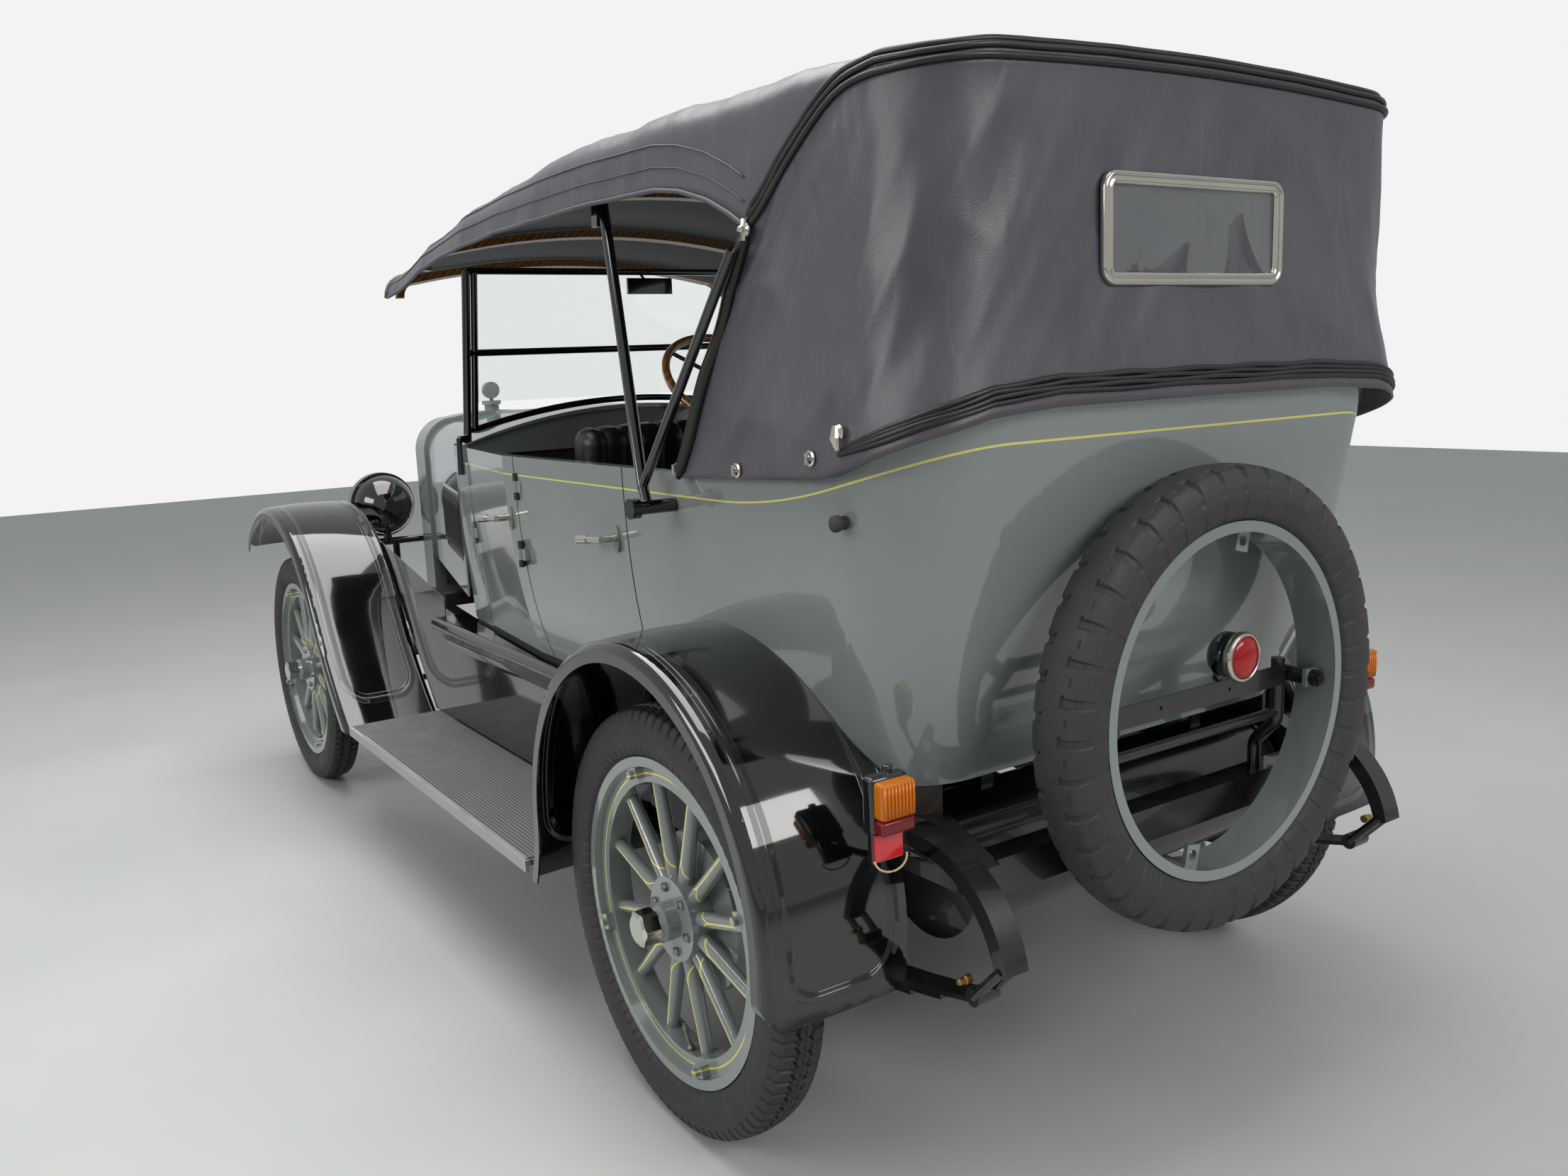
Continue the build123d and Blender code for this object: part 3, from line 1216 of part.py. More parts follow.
BOW_STATIONS = (-300.0, 110.0, 432.0, 1100.0, 1500.0, 1800.0)
BOW_WIDTH = 28.0
BOW_DEPTH = 20.0


IRON_PIVOT = (128.0, 655.0, 1130.0)
IRON_BOW = 432.0


def hood_irons():
    """Pivot brackets on the body, slanting struts, curtain straps and the bows over them."""
    pieces = []
    px, py, pz = IRON_PIVOT
    inside = hood_form(HOOD_SHEET + BOW_DEPTH + RUN_FIT)
    pad = inside - hood_form(HOOD_SHEET + BOW_DEPTH + 8.0)
    bow_room = (hood_form(0.0) - inside) & block(
        at(IRON_BOW) - BOW_WIDTH / 2 - 3, at(IRON_BOW) + BOW_WIDTH / 2 + 3, -900, 900, 1600, 2000)
    for side in (1, -1):
        skin = side * (half_width_at(px, pz) + RUN_FIT)
        bracket = rod((at(px), skin, pz), (at(px), side * (py + 26), pz), 13)
        bracket += rod((at(px), side * (py + 20), pz), (at(px), side * (py + 38), pz), 19)
        knee = (at(px), side * py, pz)
        strut = rod(knee, (at(152), side * 650, 1166), 10)
        strut += rod((at(152), side * 650, 1162), (at(IRON_BOW), side * 556, 1716), 11)
        strut += pad & block(at(IRON_BOW) - 12, at(IRON_BOW) + 12, side * 590 - 90,
                             side * 590 + 90, 1660, 1750)
        strap = rod((at(152), side * 650, 1166), (at(-158), side * 628, 1560), 9)
        iron = bracket + strut + strap
        pieces.append(iron - body_solid(-RUN_FIT) - bow_room)
    return pieces


def bow_edge(station):
    """Height of the hood's edge at a station."""
    for low, high in zip(HOOD_SECTIONS, HOOD_SECTIONS[1:]):
        if station <= high[0]:
            break
    share = (station - low[0]) / (high[0] - low[0])
    return low[2] + share * (high[2] - low[2])


def hood_bows():
    """Wooden bows across the hood, under its cover."""
    ring_form = hood_form(HOOD_SHEET + 2 * RUN_FIT) - hood_form(HOOD_SHEET + BOW_DEPTH)
    pieces = []
    for station in BOW_STATIONS:
        low = bow_edge(station) - 72
        x = at(station)
        slab = block(x - BOW_WIDTH / 2, x + BOW_WIDTH / 2, -900, 900, low, 2000)
        pieces.append(ring_form & slab)
    return pieces


# Lamps

LAMP_X = 2634.0
LAMP_Y = 400.0
LAMP_Z = 938.0
LAMP_RADIUS = 114.0
LAMP_BAR_Z = 806.0


def headlamp_shell():
    """Bowl with its rim, about the X axis."""
    r = LAMP_RADIUS
    profile = [Line((-96, 0), (-96, 22)), ThreePointArc((-96, 22), (-60, r * 0.72), (10, r - 8)),
               Line((10, r - 8), (10, r)), Line((10, r), (44, r)), Line((44, r), (44, r - 10)),
               Line((44, r - 10), (12, r - 10)), Line((12, r - 10), (12, r - 13)),
               ThreePointArc((12, r - 13), (-52, r * 0.68), (-88, 16)), Line((-88, 16), (-88, 0)),
               Line((-88, 0), (-96, 0))]
    return revolve(make_face(profile), Axis.X)


def headlamps():
    """Two lamps on stems over a cross bar, with posts down to the rails."""
    y = LAMP_Y
    x = at(LAMP_X)
    bar = rod((x - 10, -y - 60, LAMP_BAR_Z), (x - 10, y + 60, LAMP_BAR_Z), 13)
    for side in (1, -1):
        bar += Pos(x, side * y, LAMP_Z) * headlamp_shell()
        bar += rod((x - 10, side * y, LAMP_BAR_Z - 4), (x - 10, side * y,
                   LAMP_Z - LAMP_RADIUS + 14), 15)
        foot = rail_top_at(x - 26) + RUN_FIT
        bar += rod((x - 10, side * FRONT_RAIL_Y, foot), (x - 10, side * FRONT_RAIL_Y,
                   LAMP_BAR_Z), 12)
    return bar


def lamp_lenses():
    """Headlamp lenses."""
    r = LAMP_RADIUS - 10 - RUN_FIT
    bulge = 14.0
    ball = (r * r + bulge * bulge) / (2 * bulge)
    lens = rod((36, 0, 0), (60, 0, 0), r) & (Pos(40 + bulge - ball, 0, 0) * Sphere(ball))
    return [Pos(at(LAMP_X), side * LAMP_Y, LAMP_Z) * lens for side in (1, -1)]


# Spare wheel

SPARE_PLANE = 614.0
SPARE_Z = 797.0
PLATE_HOLE_SPACING = 180.0
PLATE_HOLE_RADIUS = 3.5
SPARE_TABS = (103.0, 182.0, -78.0, -1.0)
SPARE_STUD = 9.0


def across(part):
    """Turns a wheel piece so that its axle runs along X, its outboard side to the rear."""
    return Pos(at(-SPARE_PLANE), 0, SPARE_Z) * Rot(0, 0, 90) * part


TAB_FOOT = RIM_RADIUS - 12.0 - RUN_FIT - RIM_WALL


def tab_place(angle):
    """Side and height of the hole in the tab at one angle of the spare rim."""
    a = math.radians(angle)
    reach = TAB_FOOT - 16
    return reach * math.cos(a), SPARE_Z + reach * math.sin(a)


def spare_rim():
    """Bare demountable rim with its four drilled tabs."""
    rim = across(ring(rim_section()))
    x = at(-SPARE_PLANE)
    tab = block(x - 4, x + 4, -16, 16, TAB_FOOT - 34, TAB_FOOT + 2)
    for angle in SPARE_TABS:
        rim += Pos(0, 0, SPARE_Z) * Rot(angle - 90, 0, 0) * tab
    for angle in SPARE_TABS:
        y, z = tab_place(angle)
        rim -= rod((x - 20, y, z), (x + 20, y, z), SPARE_STUD + RUN_FIT)
    return rim


def spare_carrier():
    """Tube arms from the rear cross member to two of the rim's tabs, with the plate bar between."""
    x = at(-SPARE_PLANE)
    x_arm = at(-560)
    pieces = None
    for y, angle in ((250.0, SPARE_TABS[3]), (-250.0, SPARE_TABS[1])):
        arm = tube_along(((at(-515), y, RAIL_TOP - 40 + RUN_FIT), (at(-515), y, RAIL_TOP + 10),
                          (x_arm, y, RAIL_TOP + 60), (x_arm, y, SPARE_Z + 20)), (30, 30), 12)
        pieces = arm if pieces is None else pieces + arm
        stud_y, stud_z = tab_place(angle)
        pieces += rod((x_arm, stud_y, stud_z), (x - 22, stud_y, stud_z), SPARE_STUD)
        pieces += rod((x_arm + 8, stud_y, stud_z), (x + 4 + RUN_FIT, stud_y, stud_z), 15)
        pieces += rod((x - 4 - RUN_FIT, stud_y, stud_z), (x - 15, stud_y, stud_z), 15)
    pieces += block(x_arm - 16, x_arm - 10, -250, 250, SPARE_Z - 26, SPARE_Z + 10)
    for side in (1, -1):
        hole_y = side * PLATE_HOLE_SPACING / 2
        pieces -= rod((x_arm - 30, hole_y, SPARE_Z - 8), (x_arm, hole_y, SPARE_Z - 8),
                      PLATE_HOLE_RADIUS)
    pieces += rod((x_arm, -250, RAIL_TOP + 76), (x_arm, 250, RAIL_TOP + 76), 9)
    return pieces


def tail_lamps():
    """Round tail lamp on the carrier, and a square lamp with a reflector on each side."""
    x = at(-560) - 10
    drum = rod((x, -62, 859), (x - 52, -62, 859), 40)
    drum += rod((x - 50, -62, 859), (x - 58, -62, 859), 43)
    drum += block(x - 6, x + 4, -80, -44, SPARE_Z + 10 + RUN_FIT, 859)
    pieces = [drum]
    for side in (1, -1):
        y = side * 606
        lamp = block(at(-520), at(-470), y - 34, y + 34, 680, 765)
        lamp += block(at(-520) + 10, at(-470) - 8, y - 30, y + 30, 630, 680)
        lamp += rod((at(-490), side * (REAR_SPRING_Y + SPRING_WIDTH / 2 + 3.8), RAIL_TOP - 30), (at(-490), y, 650), 8)
        pieces.append(lamp)
    return pieces


def controls():
    """Steering column and box, gear and brake levers, and three pedals."""
    a, b = column_point(28 + RUN_FIT), column_point(860)
    column = rod(a, b, 19)
    column += Pos(*b) * Box(90, 80, 110)
    a_rail = FRONT_RAIL_Y + 60
    column += block(b[0] - 30, b[0] + 30, COLUMN_Y - a_rail + 205, COLUMN_Y, RAIL_TOP + RUN_FIT,
                    RAIL_TOP + 12)
    foot = BODY_FLOOR + 4
    seat = BODY_FLOOR + RUN_FIT
    lever = rod((at(1340), 60, foot), (at(1300), 60, 980), 8)
    lever += Pos(at(1300), 60, 985) * Sphere(20)
    lever += rod((at(1340), 60, seat), (at(1340), 60, seat + 16), 24)
    brake = rod((at(1400), -60, foot), (at(1330), -60, 930), 7)
    brake += rod((at(1400), -60, seat), (at(1400), -60, seat + 12), 18)
    pedals = []
    for y in (-140.0, -300.0, -370.0):
        pedal = rod((at(1530), y, foot + 2), (at(1490), y, 780), 7)
        pedal += rod((at(1528), y, seat), (at(1528), y, seat + 10), 13)
        pedal += Pos(at(1488), y, 785) * Rot(0, -35, 0) * Box(14, 58, 60)
        pedals.append(pedal)
    return [column, lever, brake] + pedals


STEERING_RADIUS = 205.0


def steering_wheel():
    """Rim, four spokes and hub on the column's axis."""
    rim = Torus(STEERING_RADIUS - 12, 12)
    hub = Cylinder(26, 34) + Pos(0, 0, -8) * Cylinder(16, 40)
    for index in range(4):
        hub += Rot(0, 0, 45 + 90 * index) * rod((10, 0, -6), (STEERING_RADIUS - 14, 0, 0), 6)
    wheel_shape = rim + hub
    top, low = Vector(*column_point(0)), Vector(*column_point(100))
    return Plane(origin=top, z_dir=(top - low), x_dir=(0, 1, 0)) * wheel_shape


os.makedirs("parts", exist_ok=True)
left_front_fender = front_fender()
left_rear_fender = rear_fender()
save("front_fenders", left_front_fender, mirrored(left_front_fender))
save("rear_fenders", left_rear_fender, mirrored(left_rear_fender))
front_wheel = wheel()
rear_wheel = front_wheel + brake_drum()
one_tyre = tyre()
WHEELS = (("front", FRONT_AXLE_X, front_wheel), ("rear", at(0), rear_wheel))
SIDES = (("left", 1), ("right", -1))
for end_name, axle_x, shape in WHEELS:
    for side_name, side in SIDES:
        save(f"wheel_{end_name}_{side_name}", placed(shape, axle_x, side))
        save(f"tyre_{end_name}_{side_name}", placed(one_tyre, axle_x, side))
save("rear_tub", body_shell & block(at(-900), at(REAR_DOOR_BACK - SHUT_GAP / 2), -900, 900, 600,
                                    1500))
for side_name, side in SIDES:
    save(f"door_rear_{side_name}", door(REAR_DOOR_BACK, DOOR_SPLIT, side, True))
    save(f"door_front_{side_name}", door(DOOR_SPLIT, FRONT_DOOR_FRONT, side))
    save(f"knuckle_{side_name}", knuckle(side))
    save(f"bonnet_{side_name}", bonnet_half(side))
save("chassis_frame", chassis_frame())
save("springs", *rear_springs(), *front_springs())
save("front_axle", front_axle())
save("tie_rod", tie_rod())
save("rear_axle", rear_axle())
save("engine", engine())
save("exhaust", exhaust())
save("fuel_tank", fuel_tank())
save("floor", floor_pieces())
save("cowl", cowl())
save("radiator", radiator())
apron = splash_apron()
save("splash_aprons", apron, mirrored(apron))
board = running_board()
save("running_boards", board, mirrored(board))
save("seat_cushions", *seat_cushions())
save("seat_backs", *seat_backs())
save("windscreen_frame", windscreen_frame())
save("windscreen_glass", *windscreen_glass())
save("hood_cover", hood_cover())
save("hood_irons", *hood_irons())
save("hood_bows", *hood_bows())
save("rear_window", rear_window())
save("headlamps", headlamps())
save("lamp_lenses", *lamp_lenses())
save("spare_rim", spare_rim())
save("spare_tyre", across(one_tyre))
save("spare_carrier", spare_carrier())
save("tail_lamps", *tail_lamps())
save("controls", *controls())
save("steering_wheel", steering_wheel())
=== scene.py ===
"""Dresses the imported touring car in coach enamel, leathercloth, rubber, nickel and hide.

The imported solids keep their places. Pieces whose form is softer or finer than the solid, such as the
hood, the seats and the tyres, stand in for their nodes. Lengths are metres in the car's own frame:
X forwards, Y to the car's left, Z up, the ground at nought.
"""

import json
import logging
import math
from dataclasses import dataclass, field
from enum import Enum

import bmesh
import bpy
import numpy as np
from mathutils import Matrix, Vector

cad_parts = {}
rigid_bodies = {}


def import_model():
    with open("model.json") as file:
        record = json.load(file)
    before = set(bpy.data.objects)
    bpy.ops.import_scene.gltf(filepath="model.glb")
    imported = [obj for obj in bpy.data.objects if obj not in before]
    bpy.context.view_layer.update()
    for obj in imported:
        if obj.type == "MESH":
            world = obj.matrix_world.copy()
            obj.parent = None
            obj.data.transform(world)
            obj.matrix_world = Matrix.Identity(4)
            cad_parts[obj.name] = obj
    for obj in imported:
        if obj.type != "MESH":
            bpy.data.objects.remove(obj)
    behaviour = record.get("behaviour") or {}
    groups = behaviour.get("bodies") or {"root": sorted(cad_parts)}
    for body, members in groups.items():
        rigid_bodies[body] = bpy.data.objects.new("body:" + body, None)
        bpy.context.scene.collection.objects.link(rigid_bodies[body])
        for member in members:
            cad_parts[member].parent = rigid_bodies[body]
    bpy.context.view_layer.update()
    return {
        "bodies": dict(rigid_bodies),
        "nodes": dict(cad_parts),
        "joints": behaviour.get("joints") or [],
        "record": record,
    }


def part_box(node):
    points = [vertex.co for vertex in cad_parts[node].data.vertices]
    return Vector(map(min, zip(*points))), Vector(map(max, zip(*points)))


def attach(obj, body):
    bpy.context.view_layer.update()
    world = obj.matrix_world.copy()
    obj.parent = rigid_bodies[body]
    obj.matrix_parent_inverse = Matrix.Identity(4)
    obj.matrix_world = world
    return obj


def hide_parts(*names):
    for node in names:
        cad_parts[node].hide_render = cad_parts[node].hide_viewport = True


log = logging.getLogger("touring_car")

MM = 0.001
REAR_AXLE_X = -1.206
FRONT_AXLE_X = 1.410
AXLE_Z = 0.3937
HALF_TRACK = 0.700
SPARE_PLANE_X = -1.820
SPARE_Z = 0.797


class Side(Enum):
    """The two sides of the car, with the sign of Y on each."""

    LEFT = 1
    RIGHT = -1


class End(Enum):
    """The two axles, with their place along the car."""

    FRONT = FRONT_AXLE_X
    REAR = REAR_AXLE_X


# Small tools for node trees and meshes


def linear(code: str) -> tuple[float, float, float, float]:
    """Turns an sRGB hex colour into the linear one that the shaders take.

    Args:
        code: Six hex digits with a leading hash sign.

    Returns:
        Red, green, blue and alpha, linear.
    """
    parts = [int(code[i : i + 2], 16) / 255 for i in (1, 3, 5)]
    turned = [c / 12.92 if c <= 0.04045 else ((c + 0.055) / 1.055) ** 2.4 for c in parts]
    return (turned[0], turned[1], turned[2], 1.0)


def add_node(tree: bpy.types.NodeTree, kind: str, settings: dict | None = None,
             links: dict | None = None) -> bpy.types.Node:
    """Adds one node, sets its properties and socket values, and links its inputs.

    Args:
        tree: The node tree that gets the node.
        kind: The node's type, without the common "ShaderNode" start.
        settings: Values by name; an integer or capitalised name is an input socket, others a property.
        links: Output sockets by the name or number of the input that each goes to.

    Returns:
        The new node.
    """
    node = tree.nodes.new("ShaderNode" + kind)
    for name, value in (settings or {}).items():
        if isinstance(name, int) or name[0].isupper():
            node.inputs[name].default_value = value
        else:
            setattr(node, name, value)
    for name, socket in (links or {}).items():
        tree.links.new(socket, node.inputs[name])
    return node


def math_node(tree: bpy.types.NodeTree, operation: str, *terms: object) -> bpy.types.NodeSocket:
    """Joins sockets or numbers by one arithmetic operation and returns the result's socket.

    Args:
        tree: The material's node tree.
        operation: The operation's name.
        terms: Sockets or numbers, in order.

    Returns:
        The result's socket.
    """
    links = {i: t for i, t in enumerate(terms) if isinstance(t, bpy.types.NodeSocket)}
    values = {i: t for i, t in enumerate(terms) if not isinstance(t, bpy.types.NodeSocket)}
    return add_node(tree, "Math", {"operation": operation, **values}, links).outputs[0]


def grid_faces(rows: int, columns: int, close_rows: bool = False,
               close_columns: bool = False) -> np.ndarray:
    """Quads of a grid of points numbered row by row, wrapping round where an edge is closed.

    Args:
        rows: Number of rows of points.
        columns: Number of points in a row.
        close_rows: Whether the last row joins the first.
        close_columns: Whether a row's last point joins its first.

    Returns:
        An array of four point numbers per face.
    """
    r = np.arange(rows if close_rows else rows - 1)[:, None]
    c = np.arange(columns if close_columns else columns - 1)[None, :]
    r2, c2 = (r + 1) % rows, (c + 1) % columns
    quads = np.stack([r * columns + c, r * columns + c2, r2 * columns + c2, r2 * columns + c], -1)
    return quads.reshape(-1, 4)


def mesh_piece(name: str, points: np.ndarray, faces: list | np.ndarray,
               smooth: bool = True) -> bpy.types.Object:
    """Makes an object at the origin from points in the car's frame and their faces.

    Args:
        name: The piece's name.
        points: Points in metres.
        faces: Point numbers of each face.
        smooth: Whether it is shaded smooth.

    Returns:
        The new object, in the scene.
    """
    mesh = bpy.data.meshes.new(name)
    mesh.from_pydata(np.asarray(points).reshape(-1, 3).tolist(), [],
                     faces.tolist() if isinstance(faces, np.ndarray) else faces)
    mesh.update()
    mesh.polygons.foreach_set("use_smooth", [smooth] * len(mesh.polygons))
    piece = bpy.data.objects.new(name, mesh)
    bpy.context.scene.collection.objects.link(piece)
    return piece


def tube(path: np.ndarray, radius: float | np.ndarray, around: int = 10) -> tuple[np.ndarray, np.ndarray]:
    """A round bar along a path: rings of points square to the path, turned as little as possible.

    Args:
        path: Points along the bar's middle, shape (n, 3).
        radius: One radius, or one for each point of the path.
        around: Points in a ring.

    Returns:
        Points and quads, with both ends drawn in to a point.
    """
    path = np.asarray(path, float)
    tangent = np.gradient(path, axis=0)
    tangent /= np.linalg.norm(tangent, axis=1, keepdims=True)
    up = np.array([0.0, 0.0, 1.0]) if abs(tangent[0][2]) < 0.9 else np.array([0.0, 1.0, 0.0])
    side = np.cross(tangent, up)
    weak = np.linalg.norm(side, axis=1, keepdims=True) < 1e-3
    side = np.where(weak, np.cross(tangent, np.array([1.0, 0.3, 0.0])), side)
    side /= np.linalg.norm(side, axis=1, keepdims=True)
    top = np.cross(side, tangent)
    turn = np.linspace(0, 2 * math.pi, around, endpoint=False)
    size = np.broadcast_to(np.asarray(radius, float), (len(path),))
    rings = path[:, None] + size[:, None, None] * (side[:, None] * np.cos(turn)[None, :, None]
                                                   + top[:, None] * np.sin(turn)[None, :, None])
    rings = np.concatenate([path[:1, None].repeat(around, 1), rings, path[-1:, None].repeat(around, 1)])
    return rings.reshape(-1, 3), grid_faces(len(path) + 2, around, close_columns=True)


def lathe(profile: list[tuple[float, float]], centre: tuple[float, float, float],
          axis: tuple[float, float, float], around: int = 48) -> tuple[np.ndarray, np.ndarray]:
    """Turns a profile of (radius, distance along the axis) about an axis through the centre.

    Args:
        profile: Radius, and distance along the axis, of each point.
        centre: Where that distance is nought.
        axis: Direction of the axis.
        around: Points in a ring.

    Returns:
        Points and quads.
    """
    way = Vector(axis).normalized()
    side = way.orthogonal().normalized()
    top = way.cross(side)
    way, side, top = (np.array(v) for v in (way, side, top))
    turn = np.linspace(0, 2 * math.pi, around, endpoint=False)
    radius, along = np.array(profile, float).T
    spoke = side[None] * np.cos(turn)[:, None] + top[None] * np.sin(turn)[:, None]
    rings = (np.array(centre) + along[:, None, None] * way
             + radius[:, None, None] * spoke[None])
    return rings.reshape(-1, 3), grid_faces(len(profile), around, close_columns=True)


def joined(*parts: tuple[np.ndarray, np.ndarray]) -> tuple[np.ndarray, np.ndarray]:
    """Puts several sets of points and quads into one.

    Args:
        parts: Points and quads of each set.

    Returns:
        All the points, and the quads numbered to match.
    """
    points, faces, base = [], [], 0
    for p, f in parts:
        points.append(p)
        faces.append(np.asarray(f) + base)
        base += len(p)
    return np.concatenate(points), np.concatenate(faces)


def smooth_path(points: list[tuple[float, float, float]], steps: int = 12) -> np.ndarray:
    """A curve through the points: cubic pieces whose slope at a point is half its neighbours' span.

    Args:
        points: Points in metres.
        steps: Steps from one point to the next.

    Returns:
        Points along the curve.
    """
    p = np.array(points, float)
    ends = np.concatenate([[2 * p[0] - p[1]], p, [2 * p[-1] - p[-2]]])
    t = np.linspace(0, 1, steps, endpoint=False)[:, None, None]
    a, b, c, d = ends[:-3], ends[1:-2], ends[2:-1], ends[3:]
    curve = 0.5 * (2 * b + (c - a) * t + (2 * a - 5 * b + 4 * c - d) * t**2
                   + (3 * b - a - 3 * c + d) * t**3)
    return np.concatenate([curve.transpose(1, 0, 2).reshape(-1, 3), p[-1:]])


def recalculated(piece: bpy.types.Object, merge: float = 1e-5) -> bpy.types.Object:
    """Merges doubled points and turns all faces outwards.

    Args:
        piece: The piece.
        merge: Distance under which two points are one.

    Returns:
        The same piece.
    """
    work = bmesh.new()
    work.from_mesh(piece.data)
    bmesh.ops.remove_doubles(work, verts=work.verts, dist=merge)
    bmesh.ops.dissolve_degenerate(work, edges=work.edges, dist=merge)
    bmesh.ops.recalc_face_normals(work, faces=work.faces)
    work.to_mesh(piece.data)
    work.free()
    return piece


def modified(piece: bpy.types.Object, kind: str, **settings: object) -> bpy.types.Object:
    """Adds a modifier with its settings.

    Args:
        piece: The piece.
        kind: The modifier's type.
        settings: Its values by name.

    Returns:
        The same piece.
    """
    modifier = piece.modifiers.new(kind.title(), kind)
    for name, value in settings.items():
        setattr(modifier, name, value)
    return piece


def dress(piece: bpy.types.Object, material: bpy.types.Material) -> bpy.types.Object:
    """Puts one material on every face of a piece.

    Args:
        piece: The piece.
        material: Its finish.

    Returns:
        The same piece.
    """
    piece.data.materials.clear()
    piece.data.materials.append(material)
    return piece


# Finishes


@dataclass(frozen=True)
class Finish:
    """A finish with one colour, fine mottling in colour and roughness, and a bump.

    Attributes:
        name: What the real finish is.
        colour: Main colour, sRGB hex.
        second: Colour that the mottling moves towards.
        roughness: Middle roughness.
        spread: How far the roughness varies each way.
        metallic: One for bare or plated metal.
        ior: Index of refraction, left alone on a metal.
        coat: Weight of a clear coat.
        coat_roughness: Roughness of that coat.
        grain_mm: Size of the bump's cells.
        bump_mm: Height of the bump.
        patch_mm: Size of the mottling's patches.
        amount: Largest share of the second colour.
        sheen: Weight of the cloth's sheen.
    """

    name: str
    colour: str
    second: str
    roughness: float = 0.4
    spread: float = 0.1
    metallic: float = 0.0
    ior: float = 1.5
    coat: float = 0.0
    coat_roughness: float = 0.03
    grain_mm: float = 2.0
    bump_mm: float = 0.02
    patch_mm: float = 140.0
    amount: float = 0.5
    sheen: float = 0.0

    def base(self) -> tuple[bpy.types.Material, bpy.types.NodeTree, bpy.types.Node, bpy.types.NodeSocket]:
        """Starts the material: its tree, shader and the Object coordinates' socket.

        Returns:
            Material, tree, shader and that socket.
        """
        material = bpy.data.materials.new(self.name)
        material.use_nodes = True
        tree = material.node_tree
        shader = tree.nodes["Principled BSDF"]
        for socket, value in (("Metallic", self.metallic), ("Coat Weight", self.coat),
                              ("Coat Roughness", self.coat_roughness), ("Sheen Weight", self.sheen)):
            shader.inputs[socket].default_value = value
        if self.metallic < 0.5:
            shader.inputs["IOR"].default_value = self.ior
        place = add_node(tree, "TexCoord").outputs["Object"]
        return material, tree, shader, place

    def mottle(self, tree: bpy.types.NodeTree, shader: bpy.types.Node,
               place: bpy.types.NodeSocket) -> bpy.types.NodeSocket:
        """Wires patchy colour and roughness, and returns the colour's socket.

        Args:
            tree: The material's node tree.
            shader: Its shader.
            place: Socket of the Object coordinates.

        Returns:
            The colour's socket.
        """
        patch = add_node(tree, "TexNoise", {"Scale": 1 / (self.patch_mm * MM), "Detail": 5.0},
                         {"Vector": place}).outputs["Fac"]
        share = add_node(tree, "MapRange", {"From Min": 0.35, "From Max": 0.7, "To Min": 0.0,
                                            "To Max": self.amount}, {"Value": patch}).outputs[0]
        colour = add_node(tree, "Mix", {"data_type": "RGBA", 6: linear(self.colour),
                                        7: linear(self.second)}, {0: share}).outputs[2]
        rough = add_node(tree, "MapRange", {"From Min": 0.3, "From Max": 0.75,
                                            "To Min": max(self.roughness - self.spread, 0.02),
                                            "To Max": self.roughness + self.spread},
                         {"Value": patch}).outputs[0]
        tree.links.new(rough, shader.inputs["Roughness"])
        tree.links.new(colour, shader.inputs["Base Color"])
        return colour

    def bumps(self, tree: bpy.types.NodeTree, shader: bpy.types.Node, height: bpy.types.NodeSocket,
              size_mm: float) -> None:
        """Wires a height of nought to one, that many millimetres tall, into the normal."""
        bump = add_node(tree, "Bump", {"Strength": 1.0, "Distance": size_mm * MM}, {"Height": height})
        tree.links.new(bump.outputs[0], shader.inputs["Normal"])

    def build(self) -> bpy.types.Material:
        """Makes the material: mottled colour and roughness over a fine grain.

        Returns:
            The material.
        """
        material, tree, shader, place = self.base()
        self.mottle(tree, shader, place)
        grain = add_node(tree, "TexNoise", {"Scale": 1 / (self.grain_mm * MM), "Detail": 2.0},
                         {"Vector": place}).outputs["Fac"]
        self.bumps(tree, shader, grain, self.bump_mm)
        return material


